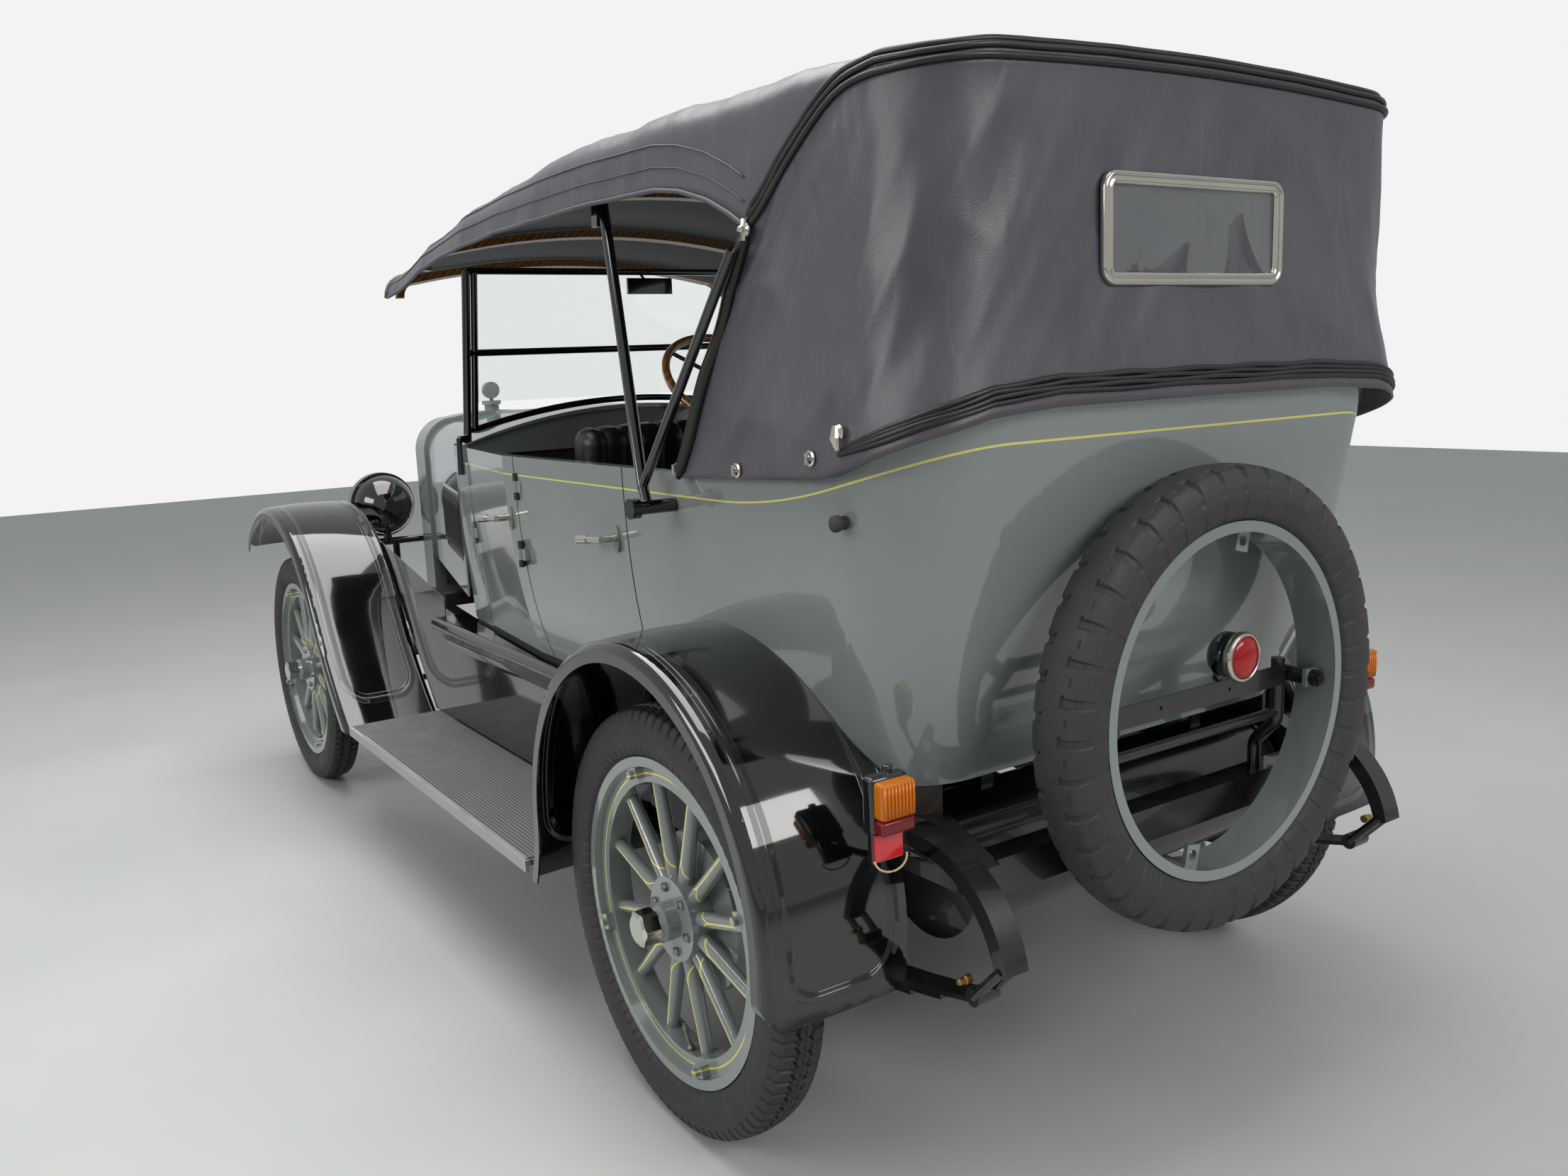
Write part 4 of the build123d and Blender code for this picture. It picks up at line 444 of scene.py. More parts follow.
@dataclass(frozen=True)
class LinedEnamel(Finish):
    """Coach enamel with a thin yellow line along the body under the belt, and nickel door handles."""

    line: str = "#d2cb62"
    plate: str = "#c9c4ba"
    width_mm: float = 3.4
    level: float = 1.147
    bend_start: float = -1.226
    bend_radius: float = 1.50
    line_front: float = 0.36
    handle_y: float = 0.6038
    handle_z: float = 1.046
    handle_half: float = 0.045
    wave_mm: float = 90.0

    def build(self) -> bpy.types.Material:
        """Makes the material; the line's height rises by a circle's arc behind its start.

        Returns:
            The material.
        """
        material, tree, shader, place = self.base()
        colour = self.mottle(tree, shader, place)
        split = add_node(tree, "SeparateXYZ", None, {0: place})
        behind = math_node(tree, "MAXIMUM", math_node(tree, "SUBTRACT", self.bend_start,
                                                      split.outputs[0]), 0.0)
        square = math_node(tree, "MULTIPLY", behind, behind)
        root = math_node(tree, "SQRT", math_node(tree, "SUBTRACT", self.bend_radius**2, square))
        height = math_node(tree, "SUBTRACT", self.level + self.bend_radius, root)
        off = math_node(tree, "ABSOLUTE", math_node(tree, "SUBTRACT", split.outputs[2], height))
        inside = math_node(tree, "LESS_THAN", off, self.width_mm * MM / 2)
        ahead = math_node(tree, "LESS_THAN", split.outputs[0], self.line_front)
        mask = math_node(tree, "MULTIPLY", inside, ahead)
        lined = add_node(tree, "Mix", {"data_type": "RGBA", 7: linear(self.line)},
                         {0: mask, 6: colour}).outputs[2]
        out = math_node(tree, "GREATER_THAN", math_node(tree, "ABSOLUTE", split.outputs[1]),
                        self.handle_y)
        tall = math_node(tree, "LESS_THAN", math_node(
            tree, "ABSOLUTE", math_node(tree, "SUBTRACT", split.outputs[2], self.handle_z)),
                         self.handle_half)
        handle = math_node(tree, "MULTIPLY", out, tall)
        plated = add_node(tree, "Mix", {"data_type": "RGBA", 7: linear(self.plate)},
                          {0: handle, 6: lined}).outputs[2]
        tree.links.new(plated, shader.inputs["Base Color"])
        tree.links.new(handle, shader.inputs["Metallic"])
        wave = add_node(tree, "TexNoise", {"Scale": 1 / (self.wave_mm * MM), "Detail": 1.0},
                        {"Vector": place})
        self.bumps(tree, shader, wave.outputs["Fac"], self.bump_mm)
        return material


@dataclass(frozen=True)
class WheelEnamel(Finish):
    """Coach enamel on a wooden wheel, lined in yellow along the spokes and round the felloe."""

    line: str = "#d9d15c"
    centre: tuple[float, float, float] = (0.0, 0.0, 0.0)
    spokes: int = 12
    ring_radius: float = 0.268
    half_line: float = 0.0016
    line_reach: tuple[float, float] = (0.083, 0.247)
    fork_radius: float = 0.128
    fork_bend: float = 11.0
    face_out: float = 0.003
    cap_face: tuple[float, float] = (0.0372, 0.0605)

    def build(self) -> bpy.types.Material:
        """Makes the material; lines are worked out from radius and angle about the hub.

        Returns:
            The material.
        """
        material, tree, shader, place = self.base()
        colour = self.mottle(tree, shader, place)
        move = add_node(tree, "Mapping", {"Location": tuple(-c for c in self.centre)}, {"Vector": place})
        split = add_node(tree, "SeparateXYZ", None, {0: move.outputs[0]})
        flat_a, along, flat_b = split.outputs
        radius = math_node(tree, "SQRT", math_node(tree, "ADD", math_node(tree, "MULTIPLY", flat_a, flat_a),
                                                   math_node(tree, "MULTIPLY", flat_b, flat_b)))
        turn = math_node(tree, "ARCTAN2", flat_b, flat_a)
        step = 2 * math.pi / self.spokes
        folded = math_node(tree, "PINGPONG", math_node(tree, "ADD", turn, 2 * math.pi), step / 2)
        angle = math_node(tree, "SUBTRACT", step / 2, folded)
        aside = math_node(tree, "MULTIPLY", radius, math_node(tree, "SINE", angle))
        near = math_node(tree, "MAXIMUM", math_node(tree, "SUBTRACT", self.fork_radius, radius), 0.0)
        fork = math_node(tree, "MULTIPLY", math_node(tree, "MULTIPLY", near, near),
                         self.fork_bend)
        off = math_node(tree, "ABSOLUTE", math_node(tree, "SUBTRACT", aside, fork))
        on_line = math_node(tree, "LESS_THAN", off, self.half_line)
        reach = math_node(tree, "MULTIPLY", math_node(tree, "LESS_THAN", radius, self.line_reach[1]),
                          math_node(tree, "GREATER_THAN", radius, self.line_reach[0]))
        spoke_line = math_node(tree, "MULTIPLY", on_line, reach)
        band = math_node(tree, "LESS_THAN", math_node(tree, "ABSOLUTE", math_node(
            tree, "SUBTRACT", radius, self.ring_radius)), self.half_line)
        either = math_node(tree, "MAXIMUM", spoke_line, band)
        mask = math_node(tree, "MULTIPLY", either,
                         math_node(tree, "GREATER_THAN", along, self.face_out))
        lined = add_node(tree, "Mix", {"data_type": "RGBA", 7: linear(self.line)},
                         {0: mask, 6: colour}).outputs[2]
        cap = math_node(tree, "MULTIPLY", math_node(tree, "LESS_THAN", radius, self.cap_face[0]),
                        math_node(tree, "GREATER_THAN", along, self.cap_face[1]))
        capped = add_node(tree, "Mix", {"data_type": "RGBA", 7: linear("#c9c6bf")},
                          {0: cap, 6: lined}).outputs[2]
        tree.links.new(capped, shader.inputs["Base Color"])
        tree.links.new(cap, shader.inputs["Metallic"])
        return material


def mirrored_finish(finish: WheelEnamel, side: Side) -> bpy.types.Material:
    """Builds a wheel's enamel with its outboard direction along its own side.

    Args:
        finish: The left wheel's finish.
        side: The side that the wheel is on.

    Returns:
        The material.
    """
    material = finish.build()
    if side is Side.RIGHT:
        for node in material.node_tree.nodes:
            if node.bl_idname == "ShaderNodeMapping":
                node.inputs["Scale"].default_value = (1.0, -1.0, 1.0)
                x, y, z = finish.centre
                node.inputs["Location"].default_value = (-x, y, -z)
    return material


@dataclass(frozen=True)
class PressedEnamel(Finish):
    """Stove enamel over sheet that is pressed with a raised bead, U-shaped in a fender's tail."""

    middle_y: float = 0.662
    half_mm: float = 104.0
    corner_mm: float = 62.0
    corner_z: float = 0.480
    bead_mm: float = 13.0
    height_mm: float = 8.0
    wave_mm: float = 70.0

    def build(self) -> bpy.types.Material:
        """Makes the material: the bead follows the line where a rounded box's distance is nought.

        Returns:
            The material.
        """
        material, tree, shader, place = self.base()
        self.mottle(tree, shader, place)
        split = add_node(tree, "SeparateXYZ", None, {0: place})
        radius = self.corner_mm * MM
        out = math_node(tree, "ABSOLUTE", math_node(
            tree, "SUBTRACT", math_node(tree, "ABSOLUTE", split.outputs[1]), self.middle_y))
        past = math_node(tree, "MAXIMUM", math_node(tree, "SUBTRACT", out, self.half_mm * MM - radius), 0.0)
        under = math_node(tree, "MAXIMUM", math_node(tree, "SUBTRACT", self.corner_z, split.outputs[2]), 0.0)
        far = math_node(tree, "SQRT", math_node(tree, "ADD", math_node(tree, "MULTIPLY", past, past),
                                                math_node(tree, "MULTIPLY", under, under)))
        off = math_node(tree, "DIVIDE", math_node(tree, "SUBTRACT", far, radius), self.bead_mm * MM)
        bead = math_node(tree, "MAXIMUM", math_node(
            tree, "SUBTRACT", 1.0, math_node(tree, "MULTIPLY", off, off)), 0.0)
        smooth = math_node(tree, "MULTIPLY", bead, bead)
        wave = add_node(tree, "TexNoise", {"Scale": 1 / (self.wave_mm * MM), "Detail": 1.0},
                        {"Vector": place})
        height = math_node(tree, "ADD", math_node(tree, "MULTIPLY", smooth, self.height_mm * MM),
                           math_node(tree, "MULTIPLY", wave.outputs["Fac"], self.bump_mm * MM))
        bump = add_node(tree, "Bump", {"Strength": 1.0, "Distance": 1.0}, {"Height": height})
        tree.links.new(bump.outputs[0], shader.inputs["Normal"])
        return material


@dataclass(frozen=True)
class CoredEnamel(Finish):
    """Radiator shell in coach enamel round a honeycomb core of dark brass, whose cell openings hold painted
    shade.
    """

    core_front: float = 1.3790
    core_half: float = 0.231
    core_depth: float = 0.012
    core_low: float = 0.642
    cell_mm: float = 9.0
    wall_share: float = 0.12

    def build(self) -> bpy.types.Material:
        """Makes the material: behind the rim's plane the face turns to cells of dark brass, their openings
        painted near-black as shade.

        Returns:
            The material.
        """
        material, tree, shader, place = self.base()
        colour = self.mottle(tree, shader, place)
        split = add_node(tree, "SeparateXYZ", None, {0: place})
        masks = [math_node(tree, "GREATER_THAN", split.outputs[0], self.core_front - self.core_depth),
                 math_node(tree, "LESS_THAN", split.outputs[0], self.core_front),
                 math_node(tree, "LESS_THAN", math_node(tree, "ABSOLUTE", split.outputs[1]),
                           self.core_half),
                 math_node(tree, "GREATER_THAN", split.outputs[2], self.core_low)]
        core = masks[0]
        for mask in masks[1:]:
            core = math_node(tree, "MULTIPLY", core, mask)
        flat = add_node(tree, "Mapping", {"Scale": (0.001, 1.0, 1.0)}, {"Vector": place}).outputs[0]
        cell = add_node(tree, "TexVoronoi", {"Scale": 1 / (self.cell_mm * MM), "Randomness": 0.0,
                                             "feature": "DISTANCE_TO_EDGE"}, {"Vector": flat})
        # Painted shade: each cell's opening is near-black, standing in for the dark depth of the core
        shaded_opening = math_node(tree, "GREATER_THAN", cell.outputs["Distance"], self.wall_share)
        brass = add_node(tree, "Mix", {"data_type": "RGBA", 6: linear("#5d4a2c"), 7: linear("#050505")},
                         {0: shaded_opening}).outputs[2]
        mixed = add_node(tree, "Mix", {"data_type": "RGBA"}, {0: core, 6: colour, 7: brass}).outputs[2]
        tree.links.new(mixed, shader.inputs["Base Color"])
        self.bumps(tree, shader, math_node(tree, "MULTIPLY", core, cell.outputs["Distance"]), 3.0)
        return material


@dataclass(frozen=True)
class Leathercloth(Finish):
    """Coated hood cloth: a fine pebbled skin with finer crumples and soft creases."""

    crease_mm: float = 90.0
    crumple_mm: float = 1.6
    crease_height_mm: float = 4.5
    crumples: float = 1.7

    def build(self) -> bpy.types.Material:
        """Makes the material: pebble cells, creases stretched along the cloth and a dull sheen.

        Returns:
            The material.
        """
        material, tree, shader, place = self.base()
        self.mottle(tree, shader, place)
        pebble = add_node(tree, "TexVoronoi", {"Scale": 1 / (self.grain_mm * MM)}, {"Vector": place})
        stretch = add_node(tree, "Mapping", {"Scale": (1.0, 1.0, 0.35)}, {"Vector": place})
        crease = add_node(tree, "TexNoise", {"Scale": 1 / (self.crease_mm * MM), "Detail": 2.0,
                                             "Distortion": 0.3}, {"Vector": stretch.outputs[0]})
        fine = math_node(tree, "MULTIPLY", pebble.outputs["Distance"], self.bump_mm * MM)
        crumple = add_node(tree, "TexNoise", {"Scale": self.crumples / (self.crease_mm * MM), "Detail": 1.5,
                                              "Distortion": 0.4}, {"Vector": stretch.outputs[0]})
        ridge = math_node(tree, "ABSOLUTE", math_node(tree, "SUBTRACT", crumple.outputs["Fac"], 0.5))
        broad = math_node(tree, "ADD", math_node(tree, "MULTIPLY", crease.outputs["Fac"],
                                               self.crease_height_mm * MM),
                          math_node(tree, "MULTIPLY", ridge, self.crumple_mm * MM))
        height = math_node(tree, "ADD", fine, broad)
        bump = add_node(tree, "Bump", {"Strength": 1.0, "Distance": 1.0}, {"Height": height})
        tree.links.new(bump.outputs[0], shader.inputs["Normal"])
        return material


@dataclass(frozen=True)
class Grained(Finish):
    """Wood with grain rings drawn out along one direction."""

    stretch: tuple[float, float, float] = (0.12, 1.0, 1.0)

    def build(self) -> bpy.types.Material:
        """Makes the material: bands bent by noise, in colour and in relief.

        Returns:
            The material.
        """
        material, tree, shader, place = self.base()
        drawn = add_node(tree, "Mapping", {"Scale": self.stretch}, {"Vector": place}).outputs[0]
        rings = add_node(tree, "TexWave", {"Scale": 1 / (self.grain_mm * MM) / 6, "Distortion": 5.0,
                                           "Detail": 3.0, "bands_direction": "DIAGONAL"}, {"Vector": drawn})
        share = math_node(tree, "MULTIPLY", rings.outputs["Fac"], self.amount)
        colour = add_node(tree, "Mix", {"data_type": "RGBA", 6: linear(self.colour),
                                        7: linear(self.second)}, {0: share}).outputs[2]
        tree.links.new(colour, shader.inputs["Base Color"])
        shader.inputs["Roughness"].default_value = self.roughness
        self.bumps(tree, shader, rings.outputs["Fac"], self.bump_mm)
        return material


@dataclass(frozen=True)
class RimAndSpokes(Grained):
    """Steering wheel: a varnished wood rim round black spokes and a black hub."""

    hub: tuple[float, float, float] = (0.004, -0.205, 1.333)
    reach: float = 0.176

    def build(self) -> bpy.types.Material:
        """Makes the material: everything nearer to the hub than the rim is black.

        Returns:
            The material.
        """
        material = super().build()
        tree = material.node_tree
        shader = tree.nodes["Principled BSDF"]
        place = add_node(tree, "TexCoord").outputs["Object"]
        far = add_node(tree, "VectorMath", {"operation": "DISTANCE", 1: self.hub},
                       {0: place}).outputs["Value"]
        inner = math_node(tree, "LESS_THAN", far, self.reach)
        wood = shader.inputs["Base Color"].links[0].from_socket
        mixed = add_node(tree, "Mix", {"data_type": "RGBA", 7: linear("#0b0c0d")},
                         {0: inner, 6: wood}).outputs[2]
        tree.links.new(mixed, shader.inputs["Base Color"])
        return material


@dataclass(frozen=True)
class Ribbed(Finish):
    """Grey ribbed rubber mat, with painted shade that follows each rib's height, and a bright metal edging
    outside a given Y.
    """

    pitch_mm: float = 9.0
    edge_y: float = 0.7915
    under_z: float = 0.352
    rib_mm: float = 1.6
    metal: str = "#b9babb"

    def build(self) -> bpy.types.Material:
        """Makes the material: saw-shaped ribs along the board, darkened with their height as painted shade,
        and metal past the edge.

        Returns:
            The material.
        """
        material, tree, shader, place = self.base()
        colour = self.mottle(tree, shader, place)
        split = add_node(tree, "SeparateXYZ", None, {0: place})
        out = math_node(tree, "ABSOLUTE", split.outputs[1])
        edge = math_node(tree, "GREATER_THAN", out, self.edge_y)
        low = math_node(tree, "LESS_THAN", split.outputs[2], self.under_z)
        under = math_node(tree, "MULTIPLY", low, math_node(tree, "LESS_THAN", out, self.edge_y))
        rib = math_node(tree, "PINGPONG", out, self.pitch_mm * MM / 2)
        scaled = math_node(tree, "DIVIDE", rib, self.pitch_mm * MM / 2)
        # Painted shade: the grey darkens with each rib's height so that the ribs show
        rib_painted_shade = add_node(tree, "Mix", {"data_type": "RGBA", 7: linear("#3b3c3d")},
                        {0: math_node(tree, "MULTIPLY", scaled, 0.55), 6: colour}).outputs[2]
        edged = add_node(tree, "Mix", {"data_type": "RGBA", 7: linear(self.metal)},
                         {0: edge, 6: rib_painted_shade}).outputs[2]
        dark = add_node(tree, "Mix", {"data_type": "RGBA", 7: linear("#0b0b0c")},
                        {0: under, 6: edged}).outputs[2]
        tree.links.new(dark, shader.inputs["Base Color"])
        tree.links.new(edge, shader.inputs["Metallic"])
        flat = math_node(tree, "MULTIPLY", scaled, math_node(tree, "SUBTRACT", 1.0, edge))
        self.bumps(tree, shader, flat, self.rib_mm)
        return material


@dataclass(frozen=True)
class Glass(Finish):
    """Clear or coloured glass with a thin film of dust."""

    clear: float = 1.0

    def build(self) -> bpy.types.Material:
        """Makes the material: see-through, with patches that are a little rougher.

        Returns:
            The material.
        """
        material, tree, shader, place = self.base()
        shader.inputs["Transmission Weight"].default_value = self.clear
        shader.inputs["Base Color"].default_value = linear(self.colour)
        dust = add_node(tree, "TexNoise", {"Scale": 1 / (self.patch_mm * MM), "Detail": 4.0},
                        {"Vector": place}).outputs["Fac"]
        rough = add_node(tree, "MapRange", {"From Min": 0.45, "From Max": 0.8, "To Min": self.roughness,
                                            "To Max": self.roughness + self.spread}, {"Value": dust})
        tree.links.new(rough.outputs[0], shader.inputs["Roughness"])
        return material


class Palette:
    """Every finish of the car, built once and kept by name."""

    def __init__(self) -> None:
        """Builds the finishes."""
        grey = {"colour": "#7b8280", "second": "#6f7674", "roughness": 0.13, "spread": 0.04, "coat": 1.0,
                "amount": 0.4, "bump_mm": 0.25, "patch_mm": 320.0}
        # Coach enamel, flatted and polished: it mirrors the room, with a faint long wave
        self.body = LinedEnamel("Coach enamel lined in yellow", **grey).build()
        self.grey = Finish("Coach enamel", **{**grey, "bump_mm": 0.02}).build()
        self.wheels = {
            (end, side): mirrored_finish(WheelEnamel(
                f"Lined enamel, {end.name.lower()} {side.name.lower()} wheel",
                centre=(end.value, HALF_TRACK * side.value, AXLE_Z), **grey), side)
            for end in End for side in Side}
        # Stove enamel, dipped and baked: a deep, wet black with few highlights
        self.black = Finish("Black stove enamel", "#08090b", "#0d0e11", roughness=0.09, spread=0.05,
                            coat=1.0, bump_mm=0.02, patch_mm=260.0).build()
        self.fender = PressedEnamel("Black stove enamel on pressed sheet", "#08090b", "#0d0e11",
                                    roughness=0.09, spread=0.05, coat=1.0, bump_mm=0.3,
                                    patch_mm=260.0).build()
        # The same coach enamel on the shell; the core's brass cells are drawn 9 mm wide, with painted shade
        # in their openings
        self.radiator = CoredEnamel("Coach enamel round a honeycomb core",
                                    **{**grey, "bump_mm": 0.02}).build()
        # Bent ash under varnish: warm grain rings seen through a clear coat
        self.rim_wood = RimAndSpokes("Varnished bent ash rim on black spokes", "#9c6a35", "#5f3514",
                                     roughness=0.25, coat=0.8, amount=0.7, grain_mm=6.0,
                                     bump_mm=0.1).build()
        # Brushed frame paint: half gloss, dulled by road dust
        self.chassis = Finish("Black chassis enamel", "#0c0d0e", "#1a1817", roughness=0.28, spread=0.12,
                              coat=0.5, grain_mm=1.5, bump_mm=0.08).build()
        # Cast iron, sand-moulded: rough and matt under its paint
        self.iron = Finish("Cast iron under engine paint", "#2b2e2d", "#3f3b34", roughness=0.55,
                           spread=0.15, grain_mm=1.2, bump_mm=0.25).build()
        # Drawn steel pipe, scaled by heat: brown, dull and uneven
        self.exhaust = Finish("Heat-scaled steel pipe", "#4a3a30", "#2c2623", roughness=0.65,
                              metallic=0.6, grain_mm=2.0, bump_mm=0.2).build()
        # Nickel plate, buffed: a warm mirror
        self.nickel = Finish("Polished nickel plate", "#cfc9bf", "#b9b3a8", roughness=0.12, spread=0.06,
                             metallic=1.0, bump_mm=0.01).build()
        # Plated steel, turned: a greyer and softer mirror
        self.steel = Finish("Plated steel fastener", "#8d8b86", "#6d675f", roughness=0.32, metallic=1.0,
                            spread=0.12, bump_mm=0.03).build()
        # Brass, turned and gone dull: yellow-brown, softly bright
        self.brass = Finish("Dull brass", "#b08d55", "#7c6238", roughness=0.36, metallic=1.0,
                            bump_mm=0.03).build()
        # Moulded rubber: matt and nearly black; its skin is drawn coarse enough to show
        self.rubber = Finish("Tyre rubber", "#232324", "#2e2c2a", roughness=0.62, spread=0.12,
                             grain_mm=1.6, bump_mm=0.12, patch_mm=60.0).build()
        # Older moulded rubber: the same, greyed by dust
        self.old_rubber = Finish("Older dusty tyre rubber", "#29292b", "#403b35", roughness=0.68,
                                 spread=0.12, grain_mm=1.6, bump_mm=0.15, patch_mm=45.0).build()
        # Coated cotton, calendered: a low sheen over soft creases; the 1 mm pebbles are
        # drawn about twice their size, so that they show
        self.hood = Leathercloth("Charcoal leathercloth", "#403f46", "#504f57", roughness=0.4,
                                 spread=0.07, grain_mm=2.2, bump_mm=0.16, patch_mm=180.0,
                                 amount=0.45, sheen=0.08).build()
        # Welts of the same cloth over cord, stretched: darker and smoother
        self.piping = Finish("Black welt piping", "#111114", "#1c1c20", roughness=0.4, spread=0.08,
                             grain_mm=1.5, bump_mm=0.1).build()
        # Woven cotton lining: matt, with a light nap
        self.lining = Finish("Grey hood lining", "#4b4b52", "#55555c", roughness=0.85, grain_mm=1.2,
                             bump_mm=0.25, sheen=0.3).build()
        # Dyed cow hide, buffed: deep black with soft highlights on the pleats
        self.hide = Leathercloth("Black seat hide", "#0b0b0c", "#17171a", roughness=0.36, spread=0.08,
                                 grain_mm=2.6, bump_mm=0.25, crease_mm=60.0, crumple_mm=1.0).build()
        # Bent ash under varnish, as on the wheel's rim
        self.bent_wood = Grained("Varnished bent ash", "#9c6a35", "#5f3514", roughness=0.25, coat=0.8,
                                 amount=0.7, grain_mm=6.0, bump_mm=0.1).build()
        # Stained boards: dark, matt and broadly grained
        self.dark_wood = Grained("Stained floor boards", "#2a201a", "#17110d", roughness=0.6,
                                 amount=0.8, grain_mm=10.0, bump_mm=0.3).build()
        # Extruded rubber mat: grey ribs with painted shade along each, drawn 9 mm apart so that they show,
        # and metal trim
        self.mat = Ribbed("Ribbed rubber mat with metal edging", "#76777a", "#646568",
                          roughness=0.55, patch_mm=90.0).build()
        # Plate glass, ground and polished: clear, with a film of dust
        self.glass = Glass("Plate glass", "#f4f8f7", "#ffffff", roughness=0.0, spread=0.05,
                           patch_mm=70.0).build()
        # Pressed lamp glass, coloured through: deep colour and a glossy face
        self.red_glass = Glass("Red lamp glass", "#d0121c", "#ffffff", roughness=0.12, spread=0.05,
                               patch_mm=20.0, clear=0.55).build()
        self.amber = Glass("Amber lamp lens", "#f08a10", "#ffffff", roughness=0.18, spread=0.05,
                           patch_mm=20.0, clear=0.45).build()
        self.dark_red = Glass("Dark red lamp lens", "#7c1018", "#ffffff", roughness=0.18, spread=0.05,
                              patch_mm=20.0, clear=0.25).build()
        # Moulded reflector: saturated red under a clear face
        self.red = Finish("Red reflector", "#d01822", "#b0101a", roughness=0.2, coat=1.0, grain_mm=3.0,
                          bump_mm=0.3).build()
        # Cloth-covered wire: matt cream
        self.cream = Finish("Cream covered wire", "#cdbb93", "#b5a27a", roughness=0.5).build()


NODE_FINISH = {
    "body": ("cowl", "rear_tub", "door_front_left", "door_front_right", "door_rear_left",
             "door_rear_right", "bonnet_left", "bonnet_right"),
    "grey": ("spare_rim",),
    "radiator": ("radiator",),
    "fender": ("front_fenders", "rear_fenders"),
    "black": ("splash_aprons", "headlamps", "windscreen_frame", "hood_irons"),
    "chassis": ("chassis_frame", "springs", "front_axle", "rear_axle", "fuel_tank", "knuckle_left",
                "knuckle_right", "tie_rod", "spare_carrier", "controls"),
    "iron": ("engine",),
    "exhaust": ("exhaust",),
    "nickel": ("rear_window",),
    "rubber": ("tyre_front_left", "tyre_front_right", "tyre_rear_left", "tyre_rear_right"),
    "old_rubber": ("spare_tyre",),
    "hood": ("hood_cover",),
    "bent_wood": ("hood_bows",),
    "rim_wood": ("steering_wheel",),
    "dark_wood": ("floor",),
    "mat": ("running_boards",),
    "glass": ("windscreen_glass", "lamp_lenses"),
    "hide": ("seat_cushions", "seat_backs"),
    "amber": ("tail_lamps",),
}


# The room: floor, backdrop, lamps and camera


@dataclass
class Studio:
    """A pale floor, soft lamps, a white surround and the camera where the photograph was taken."""

    camera_place: tuple[float, float, float] = (-3.1202, 1.7291, 1.3782)
    yaw: float = -33.780
    pitch: float = -10.086
    roll: float = -2.342
    lens_mm: float = 28.925
    floor_half: float = 14.0

    def camera(self) -> None:
        """Aims the camera: forward from yaw and pitch, then rolled about its own line of sight."""
        yaw, pitch, roll = (math.radians(v) for v in (self.yaw, self.pitch, self.roll))
        forward = Vector((math.cos(yaw) * math.cos(pitch), math.sin(yaw) * math.cos(pitch), math.sin(pitch)))
        right = Vector((math.sin(yaw), -math.cos(yaw), 0.0))
        up = right.cross(forward)
        right_rolled = math.cos(roll) * right + math.sin(roll) * up
        up_rolled = -math.sin(roll) * right + math.cos(roll) * up
        data = bpy.data.cameras.new("Camera")
        data.lens = self.lens_mm
        data.sensor_width = 36.0
        data.sensor_fit = "HORIZONTAL"
        data.clip_end = 200.0
        camera = bpy.data.objects.new("Camera", data)
        turn = Matrix((right_rolled, up_rolled, -forward)).transposed().to_4x4()
        camera.matrix_world = Matrix.Translation(Vector(self.camera_place)) @ turn
        bpy.context.scene.collection.objects.link(camera)
        bpy.context.scene.camera = camera

    def surround(self) -> None:
        """Lights from a pale world that shows as white to the camera, to mirrors and through glass."""
        world = bpy.data.worlds.new("Surround")
        bpy.context.scene.world = world
        world.use_nodes = True
        tree = world.node_tree
        tree.nodes.clear()
        path = add_node(tree, "LightPath")
        seen = math_node(tree, "MAXIMUM", path.outputs["Is Camera Ray"],
                         path.outputs["Is Transmission Ray"])
        dim = add_node(tree, "Background", {"Color": linear("#f4f6f8"), "Strength": 0.42})
        gloss = add_node(tree, "Background", {"Color": linear("#e6e9ec"), "Strength": 0.62})
        white = add_node(tree, "Background", {"Color": linear("#f2f3f2"), "Strength": 1.0})
        first = add_node(tree, "MixShader", None, {0: path.outputs["Is Glossy Ray"], 1: dim.outputs[0],
                                                   2: gloss.outputs[0]})
        second = add_node(tree, "MixShader", None, {0: seen, 1: first.outputs[0], 2: white.outputs[0]})
        output = add_node(tree, "OutputWorld", None, {"Surface": second.outputs[0]})
        output.is_active_output = True

    def floor(self) -> None:
        """Lays a pale concrete-grey floor, a plain sheet with a faint mottle."""
        s = self.floor_half
        piece = mesh_piece("Floor", np.array([(-s, -s, 0), (s, -s, 0), (s, s, 0), (-s, s, 0)], float),
                           [(0, 1, 2, 3)], smooth=False)
        dress(piece, Finish("Pale painted floor", "#b4b7b5", "#c3c5c2", roughness=0.5, spread=0.08,
                            patch_mm=900.0, grain_mm=6.0, bump_mm=0.05).build())

    def lamps(self) -> None:
        """Hangs soft area lamps over and beside the car."""
        for name, place, aim, width, height, watts in (
                ("Ceiling lamp", (0.2, 0.6, 4.6), (0.0, 0.0, 0.6), 5.0, 3.0, 210.0),
                ("Rear lamp", (-5.6, -0.6, 3.4), (-0.8, 0.0, 0.8), 3.6, 1.6, 120.0),
                ("Left lamp", (-0.4, 5.6, 3.0), (0.0, 0.0, 0.8), 4.2, 1.6, 120.0)):
            data = bpy.data.lights.new(name, "AREA")
            data.shape = "RECTANGLE"
            data.size, data.size_y = width, height
            data.energy = watts
            data.color = (1.0, 0.99, 0.97)
            lamp = bpy.data.objects.new(name, data)
            lamp.location = place
            lamp.rotation_euler = (Vector(aim) - Vector(place)).to_track_quat("-Z", "Y").to_euler()
            bpy.context.scene.collection.objects.link(lamp)

    def build(self) -> None:
        """Sets up the room."""
        bpy.context.scene.view_settings.view_transform = "Standard"
        self.camera()
        self.surround()
        self.floor()
        self.lamps()


# Tyres


